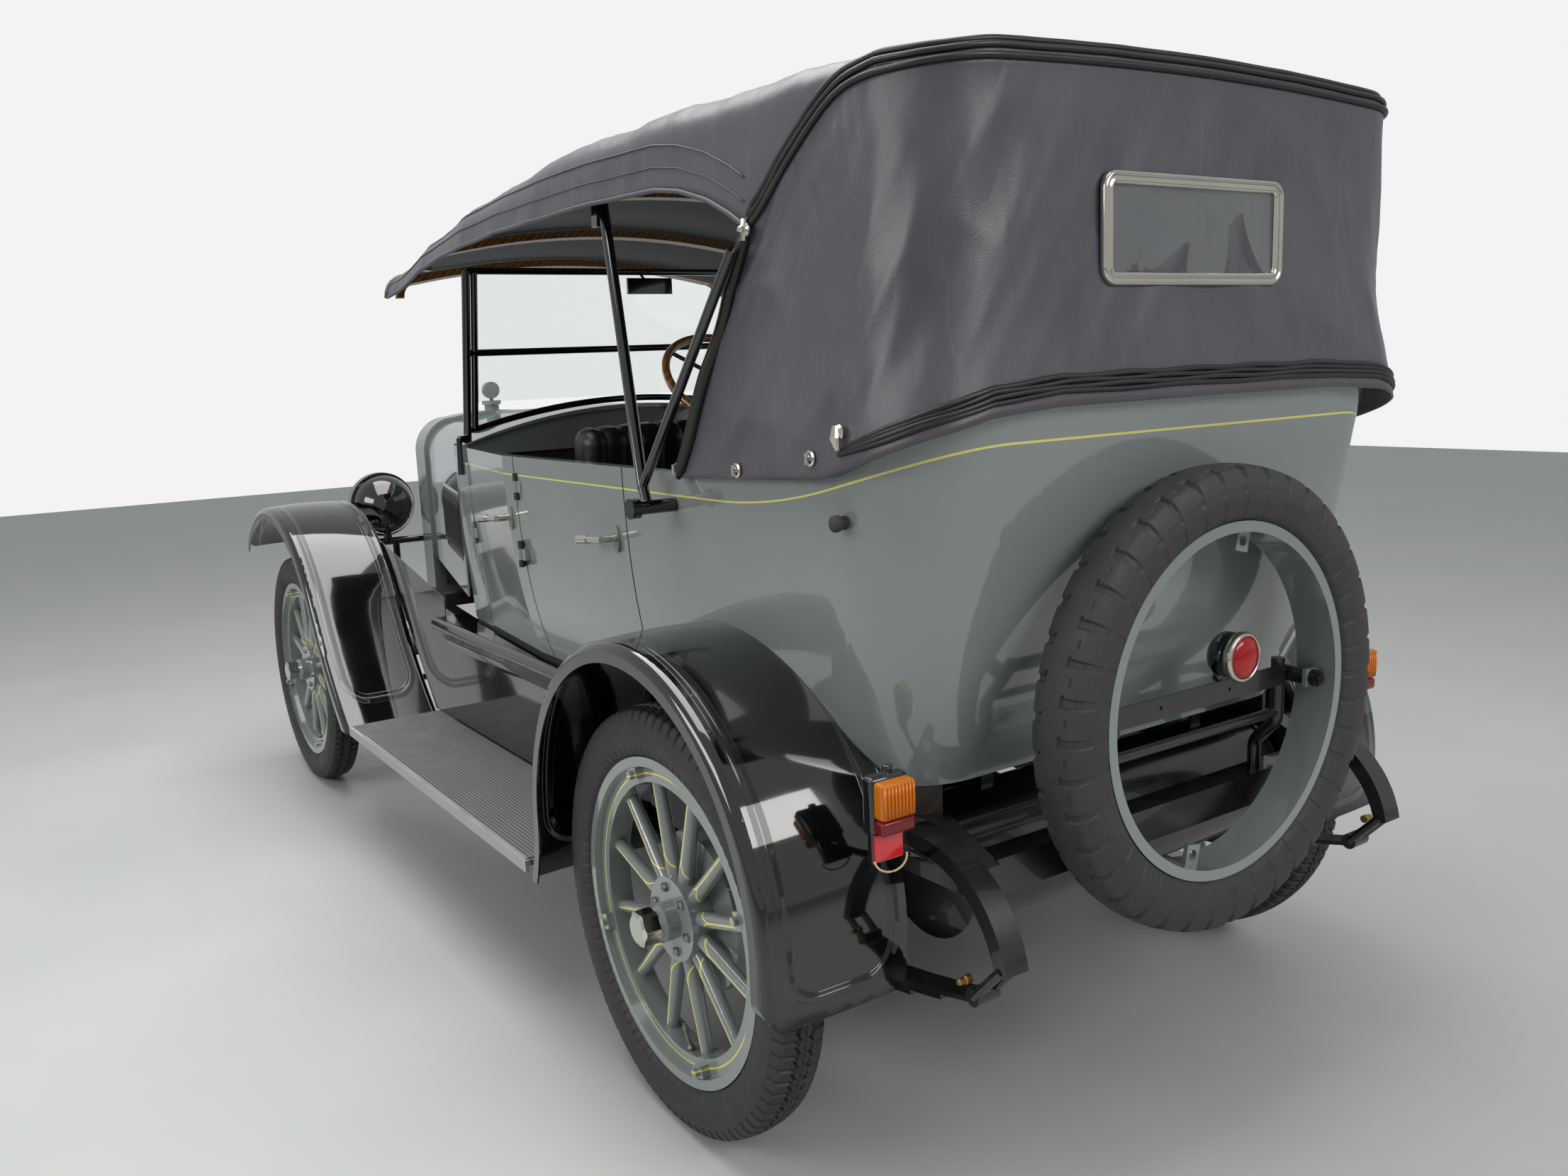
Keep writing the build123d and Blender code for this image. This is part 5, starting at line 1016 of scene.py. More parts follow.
@dataclass
class Tyre:
    """One tyre: bulged walls, and a tread of blocks cut by zigzag and cross grooves.

    Attributes:
        node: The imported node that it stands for.
        body: The body that it rides on.
        centre: Middle of the wheel.
        across: Whether the axle runs along X, as on the spare.
        chunky: Whether the tread is the older one with side lugs.
        blocks: Number of tread blocks round the tyre.
        lug_pitch: Length from lug to lug of the older tread.
        groove: Depth of the tread's grooves.
        lug_groove: Depth of the older tread's grooves.
    """

    node: str
    body: str
    centre: tuple[float, float, float]
    across: bool = False
    chunky: bool = False
    radius: float = 0.3936
    half_width: float = 0.0508
    bead_radius: float = 0.3030
    bead_half: float = 0.0352
    columns: int = 704
    blocks: int = 88
    lug_pitch: float = 0.0618
    groove: float = 0.0056
    lug_groove: float = 0.0052

    def profile(self) -> tuple[np.ndarray, np.ndarray]:
        """Half-round section: distance across and radius of each point, bead to bead.

        The wall is a curve through the bead, the widest place, the shoulder and the tread's edge.

        Returns:
            Distances across, and radii.
        """
        wall = smooth_path([(self.bead_half, self.bead_radius, 0), (0.0448, 0.3130, 0),
                            (self.half_width, 0.3400, 0), (0.0480, 0.3660, 0), (0.0425, 0.3815, 0),
                            (0.0385, 0.3872, 0)], steps=4)
        tread_across = np.linspace(0.0370, 0.0, 15)
        tread_radius = self.radius - 0.0058 * (tread_across / 0.038) ** 2
        across = np.concatenate([wall[:, 0], tread_across])
        radius = np.concatenate([wall[:, 1], tread_radius])
        return (np.concatenate([across, -across[-2::-1]]), np.concatenate([radius, radius[-2::-1]]))

    def grooves(self, across: np.ndarray, turn: np.ndarray) -> np.ndarray:
        """Depth cut away: square cuts across the shoulders and zigzag cuts round the middle.

        Args:
            across: Distances from the tread's middle line.
            turn: Angles round the wheel.

        Returns:
            Depth at each point.
        """
        length = turn * self.radius
        side = np.abs(across)
        if self.chunky:
            phase = (length / self.lug_pitch + np.where(across > 0, 0.5, 0.0)) % 1.0
            lug = (phase < 0.2) & (side > 0.017) & (side < 0.0505)
            tail = (np.abs(phase - 0.1) < 0.17) & (np.abs(side - 0.0205) < 0.003)
            rim = (np.abs(side - 0.0300) < 0.0013) & ((2 * length / self.lug_pitch) % 1.0 < 0.42)
            return np.where(lug | tail, self.lug_groove, 0.0) + np.where(rim & ~lug, 0.0022, 0.0)
        pitch = 2 * math.pi * self.radius / self.blocks
        wave = 0.0036 * (np.abs((length / pitch) % 1.0 - 0.5) * 4 - 1)
        zigzag = np.abs(side - 0.0135 - wave) < 0.0022
        centre = np.abs(across - 0.6 * wave) < 0.0014
        cut = (((length / pitch + np.where(across > 0, 0.5, 0.0)) % 1.0) < 0.24) & (side > 0.0175)
        blocks = np.where(zigzag | (cut & (side < 0.0475)), self.groove, 0.0)
        return blocks + np.where(centre, 0.003, 0.0)

    def build(self, palette: Palette) -> bpy.types.Object:
        """Turns the section round the wheel, presses the grooves in and puts the tyre in place.

        Args:
            palette: The car's finishes.

        Returns:
            The piece.
        """
        across, radius = self.profile()
        turn = np.linspace(0, 2 * math.pi, self.columns, endpoint=False)[:, None]
        wide = np.broadcast_to(across[None], (self.columns, len(across)))
        depth = self.grooves(wide, np.broadcast_to(turn, wide.shape))
        on_tread = np.clip((radius[None] - 0.366) / 0.012, 0, 1)
        ribs = 0.0009 * (np.exp(-(((radius - 0.3225) / 0.0016) ** 2))
                         + np.exp(-(((radius - 0.3600) / 0.0016) ** 2)))[None]
        r = radius[None] - depth * on_tread + ribs
        axial = np.sign(wide) * np.minimum(np.abs(wide) - 0.35 * depth * (np.abs(wide) > 0.040) + ribs * 0.3,
                                           self.half_width)
        flat_a, flat_b = r * np.cos(turn), r * np.sin(turn)
        order = (axial, flat_a, flat_b) if self.across else (flat_a, axial, flat_b)
        points = np.stack(order, -1) + np.array(self.centre)
        faces = grid_faces(self.columns, len(across), close_rows=True)
        inner = np.arange(self.columns) * len(across)
        after = np.roll(inner, -1)
        closing = np.stack([inner, after, after + len(across) - 1, inner + len(across) - 1], -1)
        piece = mesh_piece(f"{self.node}_tread", points, np.concatenate([faces, closing]), smooth=False)
        recalculated(piece)
        dress(piece, palette.old_rubber if self.chunky else palette.rubber)
        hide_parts(self.node)
        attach(piece, self.body)
        log.info("%s: %s tread", self.node, "older lugged" if self.chunky else "block")
        return piece


@dataclass
class WheelFittings:
    """Small metal parts of a road wheel: hub bolts and the valve stem."""

    end: End
    side: Side
    bolt_circle: float = 0.059
    bolts: int = 6
    stem_angle: float = -96.0

    def build(self, palette: Palette) -> bpy.types.Object:
        """Places the bolts round the hub and the stem inside the felloe, on the outboard face.

        Args:
            palette: The car's finishes.

        Returns:
            The piece.
        """
        out = self.side.value
        x0, y0 = self.end.value, HALF_TRACK * out
        parts = []
        for index in range(self.bolts):
            turn = 2 * math.pi * (index + 0.25) / self.bolts
            place = (x0 + self.bolt_circle * math.cos(turn), y0 + out * 0.0235,
                     AXLE_Z + self.bolt_circle * math.sin(turn))
            parts.append(lathe([(0.0, 0.0), (0.0092, 0.0), (0.0092, 0.004), (0.0064, 0.0075), (0.0, 0.0086)],
                               place, (0, out, 0), 6))
        turn = math.radians(self.stem_angle)
        foot = np.array((x0 + 0.250 * math.cos(turn), y0 + out * 0.012, AXLE_Z + 0.250 * math.sin(turn)))
        tip = np.array((x0 + 0.196 * math.cos(turn), y0 + out * 0.022, AXLE_Z + 0.196 * math.sin(turn)))
        path = foot + (tip - foot) * np.linspace(0, 1, 12)[:, None]
        size = np.array([7.5, 7.5, 4.4, 4.4, 4.4, 4.4, 4.4, 4.4, 5.4, 5.4, 3.4, 3.4]) * MM
        parts.append(tube(path, size, 10))
        name = f"wheel_fittings_{self.end.name.lower()}_{self.side.name.lower()}"
        piece = mesh_piece(name, *joined(*parts), smooth=False)
        recalculated(piece, 1e-6)
        dress(piece, palette.steel)
        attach(piece, f"wheel_{self.end.name.lower()}_{self.side.name.lower()}")
        log.info("%s: %d bolts and a valve", name, self.bolts)
        return piece


# Hood


@dataclass
class Hood:
    """The raised hood: a roof sheet, a rear curtain, welted seams, studs and the rear light.

    A point of the cloth is found from s, the distance round the hood's plan from the middle of the tail,
    positive on the car's left, and from a height up the wall or a share of the way in over the roof.
    """

    stations: tuple[tuple[float, ...], ...] = (
        (-640.0, 562.0, 1800.0, 1816.0, 26.0), (-440.0, 575.0, 1812.0, 1838.0, 36.0),
        (-300.0, 588.0, 1818.0, 1858.0, 56.0), (130.0, 604.0, 1832.0, 1896.0, 74.0),
        (560.0, 604.0, 1832.0, 1898.0, 74.0), (1100.0, 596.0, 1788.0, 1850.0, 74.0),
        (1500.0, 580.0, 1734.0, 1790.0, 74.0), (1850.0, 560.0, 1672.0, 1722.0, 60.0))
    bows: tuple[float, ...] = (-0.60, -0.30, 0.11, 0.432, 1.10, 1.50, 1.84)
    hem: tuple[tuple[float, float], ...] = (
        (-0.170, 1.583), (-0.150, 1.597), (-0.110, 1.619), (-0.040, 1.650), (0.050, 1.676),
        (0.131, 1.688), (0.400, 1.697), (0.886, 1.697), (1.250, 1.683), (1.532, 1.668),
        (1.745, 1.662), (1.800, 1.664), (1.850, 1.670))
    seam: tuple[tuple[float, float], ...] = (
        (-0.460, 1.85), (-0.380, 1.767), (-0.328, 1.722), (-0.274, 1.686), (-0.216, 1.631),
        (-0.170, 1.583))
    foot: tuple[tuple[float, float], ...] = (
        (0.0, 1.301), (0.35, 1.300), (0.491, 1.290), (0.593, 1.264), (0.695, 1.231),
        (0.801, 1.202), (1.233, 1.184), (1.40, 1.180))
    wall_half: float = 0.621
    corner: float = 0.130
    tail: float = 0.606
    tail_top: float = 0.578
    front: float = 1.846
    foot_level: float = 1.22
    cloth: float = 0.003
    cut: tuple[float, float] = (2.35, 2.95)
    cut_area: float = 4.35
    pane_y: float = 0.026
    tail_mean: float = 0.590
    seam_front: float = -0.170
    curtain_front: float = 0.078
    latch: float = -0.40
    roof_columns: int = 441
    curtain_columns: int = 233
    curtain_rows: int = 49
    table: np.ndarray = field(init=False)

    def __post_init__(self) -> None:
        """Smooths the table of stations into one row per centimetre."""
        rows = np.array(self.stations) * MM
        along = np.arange(-0.75, 1.95, 0.01)
        columns = []
        for column in rows[:, 1:].T:
            wide = np.interp(along, rows[:, 0], column)
            ends = np.concatenate([np.full(9, wide[0]), wide, np.full(9, wide[-1])])
            columns.append(np.convolve(ends, np.full(19, 1 / 19), "valid"))
        self.table = np.column_stack([along, *columns])

    def row(self, t: np.ndarray) -> list[np.ndarray]:
        """Half width, edge height, centre height and shoulder radius at stations t."""
        return [np.interp(t, self.table[:, 0], self.table[:, k]) for k in range(1, 5)]

    def roof_height(self, t: np.ndarray, y: np.ndarray) -> np.ndarray:
        """Height of the roof: a shallow arch across, sagging a little between the bows.

        Args:
            t: Stations along the car.
            y: Distances from the middle plane.

        Returns:
            Heights.
        """
        half, edge, centre, shoulder = self.row(t)
        share = np.clip(np.abs(y) / (half - shoulder), 0, 1)
        bows = np.array(self.bows)
        index = np.clip(np.searchsorted(bows, t) - 1, 0, len(bows) - 2)
        between = (t - bows[index]) / (bows[index + 1] - bows[index])
        sag = 0.008 * np.sin(np.pi * np.clip(between, 0, 1)) ** 2 * (1 - 0.6 * share**2)
        return edge + (centre - edge) * (1 - share**2) - sag

    def plan(self, s: np.ndarray, z: np.ndarray) -> tuple[np.ndarray, np.ndarray]:
        """Station and Y of the wall at distance s round the plan and height z.

        Args:
            s: Distances round the plan.
            z: Heights.

        Returns:
            Stations and Y.
        """
        far = np.abs(s)
        flat = self.wall_half - self.corner
        tail = self.tail + (self.tail_top - self.tail) * (z - 1.05) / 0.90
        arc = np.clip((far - flat) / self.corner, 0, math.pi / 2)
        run = np.maximum(far - flat - self.corner * math.pi / 2, 0)
        t = -tail + self.corner * (1 - np.cos(arc)) + run
        y = np.minimum(far, flat) + self.corner * np.sin(arc)
        half, edge, _, shoulder = self.row(t)
        down = np.clip((edge - shoulder - z) / (edge - shoulder - self.foot_level), 0, 1)
        reach = half + (self.wall_half - half) * down
        return t, np.sign(s) * y * reach / self.wall_half

    def s_at(self, t: float) -> float:
        """Distance round the plan at which the side wall passes a station."""
        return self.wall_half - self.corner + self.corner * math.pi / 2 + t + self.tail_mean - self.corner

    def spine(self, t: np.ndarray) -> np.ndarray:
        """Station on the roof's middle line to which a column of the roof runs."""
        return np.maximum(t, -self.tail_top + 0.52)

    def shoulder_foot(self, s: np.ndarray) -> tuple[np.ndarray, ...]:
        """Plan point, inward direction, shoulder radius and the height where the wall ends.

        Args:
            s: Distances round the plan.

        Returns:
            Station, Y, direction, radius and height.
        """
        t, y = self.plan(s, np.full_like(s, 1.78))
        _, _, _, radius = self.row(t)
        way = np.stack([self.spine(t) - t, -y], -1)
        way /= np.linalg.norm(way, axis=-1, keepdims=True)
        top = self.roof_height(t + way[..., 0] * radius, y + way[..., 1] * radius)
        return t, y, way, radius, top - radius

    def seam_height(self, s: np.ndarray) -> np.ndarray:
        """Height at which the roof meets the curtain, smoothed round the rear corners.

        Args:
            s: Distances round the plan.

        Returns:
            Heights.
        """
        fine = np.linspace(-2.0, 2.0, 801)
        t, _, _, _, wall_top = self.shoulder_foot(fine)
        seam = np.interp(t, *np.array(self.seam).T)
        top = np.minimum(seam, wall_top)
        weight = np.exp(-((np.arange(-24, 25) / 11.0) ** 2))
        padded = np.concatenate([np.full(24, top[0]), top, np.full(24, top[-1])])
        return np.interp(s, fine, np.minimum(np.convolve(padded, weight / weight.sum(), "valid"), wall_top))

    def creases(self, a: np.ndarray, b: np.ndarray, seed: int) -> np.ndarray:
        """Soft cloth creases: a few warped sine waves of a and b, some sharpened, from a seed.

        Args:
            a: First coordinate.
            b: Second coordinate.
            seed: What fixes the waves.

        Returns:
            Heights, for a scale of one.
        """
        rng = np.random.default_rng(seed)
        total = np.zeros(np.broadcast(a, b).shape)
        for size in (0.42, 0.27, 0.17, 0.11, 0.07):
            turn = rng.uniform(-0.5, 0.5)
            bend = rng.uniform(0, 6.3, 3)
            wave = (a * math.cos(turn) + b * math.sin(turn) * 0.5) / size
            wave = wave + 0.35 * np.sin(b * 7 + bend[0]) + 0.25 * np.sin(a * 5 + b * 9 + bend[1])
            ridge = 1 - 2 * np.abs(np.sin(math.pi * wave + bend[2])) ** 0.8
            total += size * ridge * rng.uniform(0.6, 1.0)
        return total

    def roof(self) -> tuple[np.ndarray, np.ndarray]:
        """Grid of the roof sheet: up the short wall, over the shoulder and in to the spine.

        Returns:
            Points and quads.
        """
        end = self.s_at(self.front)
        s = np.linspace(-end, end, self.roof_columns)
        t, y, way, radius, wall_top = self.shoulder_foot(s)
        hem = np.interp(t, *np.array(self.hem).T)
        low = np.minimum(np.where(t > self.seam_front, hem, self.seam_height(s)), wall_top)
        rows = []
        for share in np.linspace(0, 1, 7)[:-1]:
            z = low + (wall_top - low) * share
            tw, yw = self.plan(s, z)
            rows.append(np.stack([tw, yw, z], -1))
        for phi in np.linspace(0, math.pi / 2, 7)[:-1]:
            inward = radius * (1 - math.cos(phi))
            rows.append(np.stack([t + way[:, 0] * inward, y + way[:, 1] * inward,
                                  wall_top + radius * math.sin(phi)], -1))
        start = np.stack([t + way[:, 0] * radius, y + way[:, 1] * radius], -1)
        goal = np.stack([self.spine(t), np.zeros_like(t)], -1)
        for share in np.linspace(0, 1, 31):
            flat = start + (goal - start) * share
            rows.append(np.stack([flat[:, 0], flat[:, 1], self.roof_height(flat[:, 0], flat[:, 1])], -1))
        points = np.array(rows)
        fade = np.clip(np.abs(points[..., 1]) / 0.5, 0.15, 1.0)
        lift = self.creases(points[..., 0], points[..., 2] + np.abs(points[..., 1]), 5) * 0.006 * fade
        side = np.clip((1.80 - points[..., 2]) / 0.08, 0, 1)
        points[..., 2] += lift * (1 - side)
        points[..., 1] += np.sign(points[..., 1]) * lift * side * 0.8
        points[..., 0] += REAR_AXLE_X
        return points, grid_faces(len(rows), len(s))

    def curtain(self) -> tuple[np.ndarray, np.ndarray]:
        """Grid of the rear curtain, from its slanting front edge on one side round to the other.

        Returns:
            Points and quads.
        """
        low_end, top_end = self.s_at(self.curtain_front), self.s_at(self.seam_front)
        share = np.linspace(-1, 1, self.curtain_columns)
        s_low, s_top = share * low_end, share * top_end
        z_low = np.interp(np.abs(s_low), *np.array(self.foot).T)
        z_top = self.seam_height(s_top)
        v = np.linspace(0, 1, self.curtain_rows)[:, None]
        s = s_low + (s_top - s_low) * v
        z = z_low + (z_top - z_low) * v
        t, y = self.plan(s, z)
        flat = self.wall_half - self.corner
        arc = np.clip((np.abs(s) - flat) / self.corner, 0, math.pi / 2)
        out = np.stack([-np.cos(arc), np.sign(s) * np.sin(arc)], -1)
        held = np.sin(np.pi * v) ** 0.8
        rear = np.cos(arc)
        quarter = np.clip((np.abs(s) - 0.40) / 0.25, 0, 1)
        push = -0.012 * held * rear
        push = push + self.creases(s + 0.18 * v * np.sign(s), v * 0.5, 11) * held * (
            0.0075 + 0.0115 * quarter)
        slack = np.exp(-(((np.abs(s) - 0.590) / 0.09) ** 2)) * np.sin(np.pi * v) * 0.010
        push = push - slack
        points = np.stack([t + REAR_AXLE_X + out[..., 0] * push, y + out[..., 1] * push, z], -1)
        return points, grid_faces(self.curtain_rows, self.curtain_columns)

    def along(self, grid: np.ndarray, distance: float) -> np.ndarray:
        """Points at a distance up each column of a grid from its first row.

        Args:
            grid: Points in rows and columns.
            distance: Distance up from the first row.

        Returns:
            One point a column.
        """
        steps = np.linalg.norm(np.diff(grid, axis=0), axis=-1)
        run = np.concatenate([np.zeros((1, grid.shape[1])), np.cumsum(steps, 0)])
        return np.array([[np.interp(distance, run[:, c], grid[:, c, k]) for k in range(3)]
                         for c in range(grid.shape[1])])

    def outward(self, points: np.ndarray) -> np.ndarray:
        """Direction out of the hood at points near its rear top edge or on its walls.

        Args:
            points: Points in metres.

        Returns:
            A direction of length one for each point.
        """
        middle = np.array([REAR_AXLE_X - 0.1, 0.0, 1.62])
        way = points - middle
        way[:, 0] = np.minimum(way[:, 0], 0) * (np.abs(points[:, 0] - REAR_AXLE_X + 0.6) < 0.12)
        way[:, 2] = np.maximum(way[:, 2], 0) * 2.0
        return way / np.linalg.norm(way, axis=1, keepdims=True)

    def welts(self, roof: np.ndarray, curtain: np.ndarray) -> tuple[np.ndarray, np.ndarray]:
        """Three corded welts along the seam, from the knob up, round the rear edge and down again.

        Args:
            roof: The roof's grid of points.
            curtain: The curtain's grid of points.

        Returns:
            Points and quads.
        """
        t = roof[0, :, 0] - REAR_AXLE_X
        inside = t < -0.172
        parts = []
        for distance in (0.026, 0.014):
            line = self.along(roof, distance)[inside]
            parts.append(tube(line + self.outward(line) * 0.0028, 0.0052, 8))
        under = self.along(curtain[::-1], 0.002)
        parts.append(tube(under + self.outward(under) * 0.0026, 0.0052, 8))
        return joined(*parts)

    def foot_band(self, curtain: np.ndarray) -> tuple[np.ndarray, np.ndarray]:
        """Gathered folds along the curtain's foot round the tail, thinning out at the latches.

        Args:
            curtain: The curtain's grid of points.

        Returns:
            Points and quads.
        """
        s = np.linspace(-1, 1, self.curtain_columns) * self.s_at(self.curtain_front)
        inside = np.abs(s) < self.s_at(self.latch)
        near = np.clip((self.s_at(self.latch) - np.abs(s[inside])) / 0.10, 0, 1)
        parts = []
        for index, distance in enumerate((0.022, 0.0295, 0.037, 0.0445)):
            line = self.along(curtain, distance)[inside]
            wave = 0.0011 * np.sin(s[inside] * (23 + 5 * index) + index * 2.1)
            line[:, 2] += wave + (1 - near) * (0.033 - distance) * 0.7
            out = self.outward(line)
            out[:, 2] = 0
            parts.append(tube(line + out * (0.0022 + 0.0008 * (index % 2)), 0.0044 - 0.0014 * (1 - near), 8))
        return joined(*parts)

    def edge_roll(self, curtain: np.ndarray, column: int) -> tuple[np.ndarray, np.ndarray]:
        """The stiff roll down the curtain's front edge.

        Args:
            curtain: The curtain's grid of points.
            column: The column that it follows.

        Returns:
            Points and quads.
        """
        line = curtain[:, column].copy()
        line[:, 1] += np.sign(line[:, 1]) * 0.002
        up = np.arange(self.curtain_rows)
        ends = np.clip(np.minimum(up, up[::-1]) / 2.0, 0.4, 1)
        return tube(line, 0.0125 * ends, 12)

    def stitching(self, roof: np.ndarray) -> tuple[np.ndarray, np.ndarray]:
        """Two fine seams that follow the roof's side hems, and a thicker bound edge.

        Args:
            roof: The roof's grid of points.

        Returns:
            Points and quads.
        """
        t = roof[0, :, 0] - REAR_AXLE_X
        parts = []
        for side in (1, -1):
            inside = (t > -0.168) & (np.sign(roof[0, :, 1]) == side)
            for distance, radius in ((0.0015, 0.0048), (0.040, 0.0012), (0.078, 0.0016)):
                line = self.along(roof, distance)[inside]
                parts.append(tube(line + self.outward(line) * (0.0012 if radius < 0.003 else 0.0), radius, 6))
        return joined(*parts)

    def front_edge(self, roof: np.ndarray) -> tuple[np.ndarray, np.ndarray]:
        """Bound front edge of the visor, over the foremost bow from hem to hem.

        Args:
            roof: The roof's grid of points.

        Returns:
            Points and quads.
        """
        left, right = roof[:, -1], roof[::-1, 0]
        line = np.concatenate([left, right[1:]])
        return tube(line, 0.0075, 10)

    def build(self, palette: Palette) -> None:
        """Makes the cloth, thickens it inwards with its lining, and adds the welts and fittings.

        Args:
            palette: The car's finishes.
        """
        roof, roof_faces = self.roof()
        curtain, curtain_faces = self.curtain()
        cloth = mesh_piece("hood_cloth", *joined((roof.reshape(-1, 3), roof_faces),
                                                 (curtain.reshape(-1, 3), curtain_faces)))
        recalculated(cloth, 2e-4)
        self.face_out(cloth)
        dress(cloth, palette.hood)
        cloth.data.materials.append(palette.lining)
        modified(cloth, "SOLIDIFY", thickness=self.cloth, offset=-1.0, material_offset=1)
        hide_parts("hood_cover")
        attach(cloth, "car")
        with_cloth = []
        for name, shape, finish in (
                ("hood_welts", self.welts(roof, curtain), palette.piping),
                ("hood_foot_band", self.foot_band(curtain), palette.piping),
                ("hood_edge_rolls", joined(self.edge_roll(curtain, 0), self.edge_roll(curtain, -1)),
                 palette.piping),
                ("hood_hems", self.stitching(roof), palette.hood),
                ("hood_front_edge", self.front_edge(roof), palette.hood)):
            piece = recalculated(mesh_piece(name, *shape))
            dress(piece, finish)
            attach(piece, "car")
            with_cloth.append(piece)
        with_cloth.append(self.fasteners(palette))
        with_cloth += self.rear_light(palette)
        log.info("hood: roof, curtain, welts, fasteners and rear light")

    def face_out(self, piece: bpy.types.Object) -> None:
        """Turns the whole open sheet over if its faces look inwards.

        Args:
            piece: The piece.
        """
        mesh = piece.data
        normals = np.empty(len(mesh.polygons) * 3)
        centres = np.empty(len(mesh.polygons) * 3)
        mesh.polygons.foreach_get("normal", normals)
        mesh.polygons.foreach_get("center", centres)
        away = centres.reshape(-1, 3) - np.array([REAR_AXLE_X + 0.5, 0.0, 1.5])
        if (normals.reshape(-1, 3) * away).sum() < 0:
            mesh.flip_normals()

    def fasteners(self, palette: Palette) -> bpy.types.Object:
        """Turn-buttons along the curtain's foot, a latch and a knob on each side.

        Args:
            palette: The car's finishes.

        Returns:
            The piece.
        """
        parts = []
        for side in (1, -1):
            for t, z in ((0.070, 1.199), (-0.132, 1.207), (-0.345, 1.235)):
                y = side * 0.6215
                parts.append(lathe([(0, 0), (0.0125, 0), (0.0125, 0.0018), (0.009, 0.0034), (0.005, 0.0036),
                                    (0.004, 0.009), (0, 0.0095)], (t + REAR_AXLE_X, y, z), (0, side, 0), 24))
                parts.append(tube(np.array([(t + REAR_AXLE_X, y + side * 0.008, z + dz)
                                            for dz in (-0.009, -0.004, 0.0, 0.004, 0.009)]), 0.0034, 8))
            x, y, z = REAR_AXLE_X - 0.420, side * 0.619, 1.268
            parts.append(lathe([(0, 0), (0.010, 0), (0.012, 0.004), (0.007, 0.010), (0, 0.011)],
                               (x, y, z + 0.008), (0, side, 0), 20))
            parts.append(tube(np.array([(x, y + side * 0.009, z + 0.018), (x, y + side * 0.010, z),
                                        (x - 0.003, y + side * 0.008, z - 0.018)]),
                              np.array([0.005, 0.0085, 0.004]), 10))
            x, y, z = REAR_AXLE_X - 0.174, side * 0.6085, 1.590
            parts.append(lathe([(0, 0), (0.011, 0), (0.011, 0.003), (0.005, 0.006), (0.0065, 0.012),
                                (0.004, 0.016), (0, 0.0165)], (x, y, z), (0, side, 0), 20))
            parts.append(tube(np.array([(x, y + side * 0.004, z + 0.016), (x, y + side * 0.006, z),
                                        (x + 0.004, y + side * 0.005, z - 0.016)]), 0.0055, 8))
        piece = recalculated(mesh_piece("hood_fasteners", *joined(*parts), smooth=False), 1e-6)
        dress(piece, palette.nickel)
        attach(piece, "car")
        return piece

    def rear_light(self, palette: Palette) -> list[bpy.types.Object]:
        """A wide nickel frame of two rolls round a clear pane, set on the curtain.

        Args:
            palette: The car's finishes.

        Returns:
            The frame and the pane.
        """
        half_y, low, high, radius = 0.217, 1.474, 1.643, 0.028
        plane = REAR_AXLE_X - 0.5785
        turn = np.linspace(0, 2 * math.pi, 96, endpoint=False)
        quarter = np.round(turn / (math.pi / 2) - 0.5)
        corner = (quarter + 0.5) * math.pi / 2
        cy, cz = half_y - radius, (high - low) / 2 - radius
        rings = []
        for inset, height in ((0.0, 0.0), (0.0, 0.006), (0.003, 0.010), (0.007, 0.010), (0.010, 0.0055),
                              (0.013, 0.009), (0.018, 0.009), (0.021, 0.004), (0.021, -0.004)):
            y = np.sign(np.cos(corner)) * cy + (radius - inset) * np.cos(turn)
            z = np.sign(np.sin(corner)) * cz + (radius - inset) * np.sin(turn) + (low + high) / 2
            rings.append(np.stack([np.full_like(y, plane - height), y + self.pane_y, z], -1))
        points = np.concatenate(rings)
        frame = mesh_piece("rear_light_frame", points, grid_faces(9, 96, close_columns=True))
        recalculated(frame)
        dress(frame, palette.nickel)
        pane = mesh_piece("rear_light_pane", np.concatenate([rings[7], rings[7] + np.array([0.003, 0, 0])]),
                          [tuple(range(96)), tuple(range(191, 95, -1))]
                          + [(i, i + 96, (i + 1) % 96 + 96, (i + 1) % 96) for i in range(96)], smooth=False)
        recalculated(pane)
        dress(pane, palette.glass)
        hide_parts("rear_window")
        for piece in (frame, pane):
            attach(piece, "car")
        return [frame, pane]


# Lamps, seats and small fittings


def rounded_block(centre: tuple[float, float, float], size: tuple[float, float, float], radius: float,
                  steps: int = 5) -> tuple[np.ndarray, np.ndarray]:
    """A box with round edges: a ball's grid whose eight parts are moved apart to the box's corners.

    Args:
        centre: Middle of the box.
        size: Full lengths along X, Y and Z.
        radius: Radius of the edges.
        steps: Steps round each quarter.

    Returns:
        Points and faces, with each pole drawn in to one point.
    """
    quarter = np.linspace(0, math.pi / 2, steps + 1)
    rise = np.concatenate([quarter - math.pi / 2, quarter])
    up = np.repeat([-1.0, 1.0], steps + 1)
    round_ = np.concatenate([quarter + k * math.pi / 2 for k in range(4)])
    middle = np.repeat([(k + 0.5) * math.pi / 2 for k in range(4)], steps + 1)
    reach = np.array(size) / 2 - radius
    x = np.sign(np.cos(middle)) * reach[0] + radius * np.cos(rise)[:, None] * np.cos(round_)
    y = np.sign(np.sin(middle)) * reach[1] + radius * np.cos(rise)[:, None] * np.sin(round_)
    z = (up * reach[2] + radius * np.sin(rise))[:, None] + np.zeros_like(x)
    points = np.stack([x, y, z], -1)
    poles = [np.tile((0.0, 0.0, way * size[2] / 2), (1, points.shape[1], 1)) for way in (-1, 1)]
    points = np.concatenate([poles[0], points, poles[1]])
    return (points.reshape(-1, 3) + np.array(centre),
            grid_faces(points.shape[0], points.shape[1], close_columns=True))


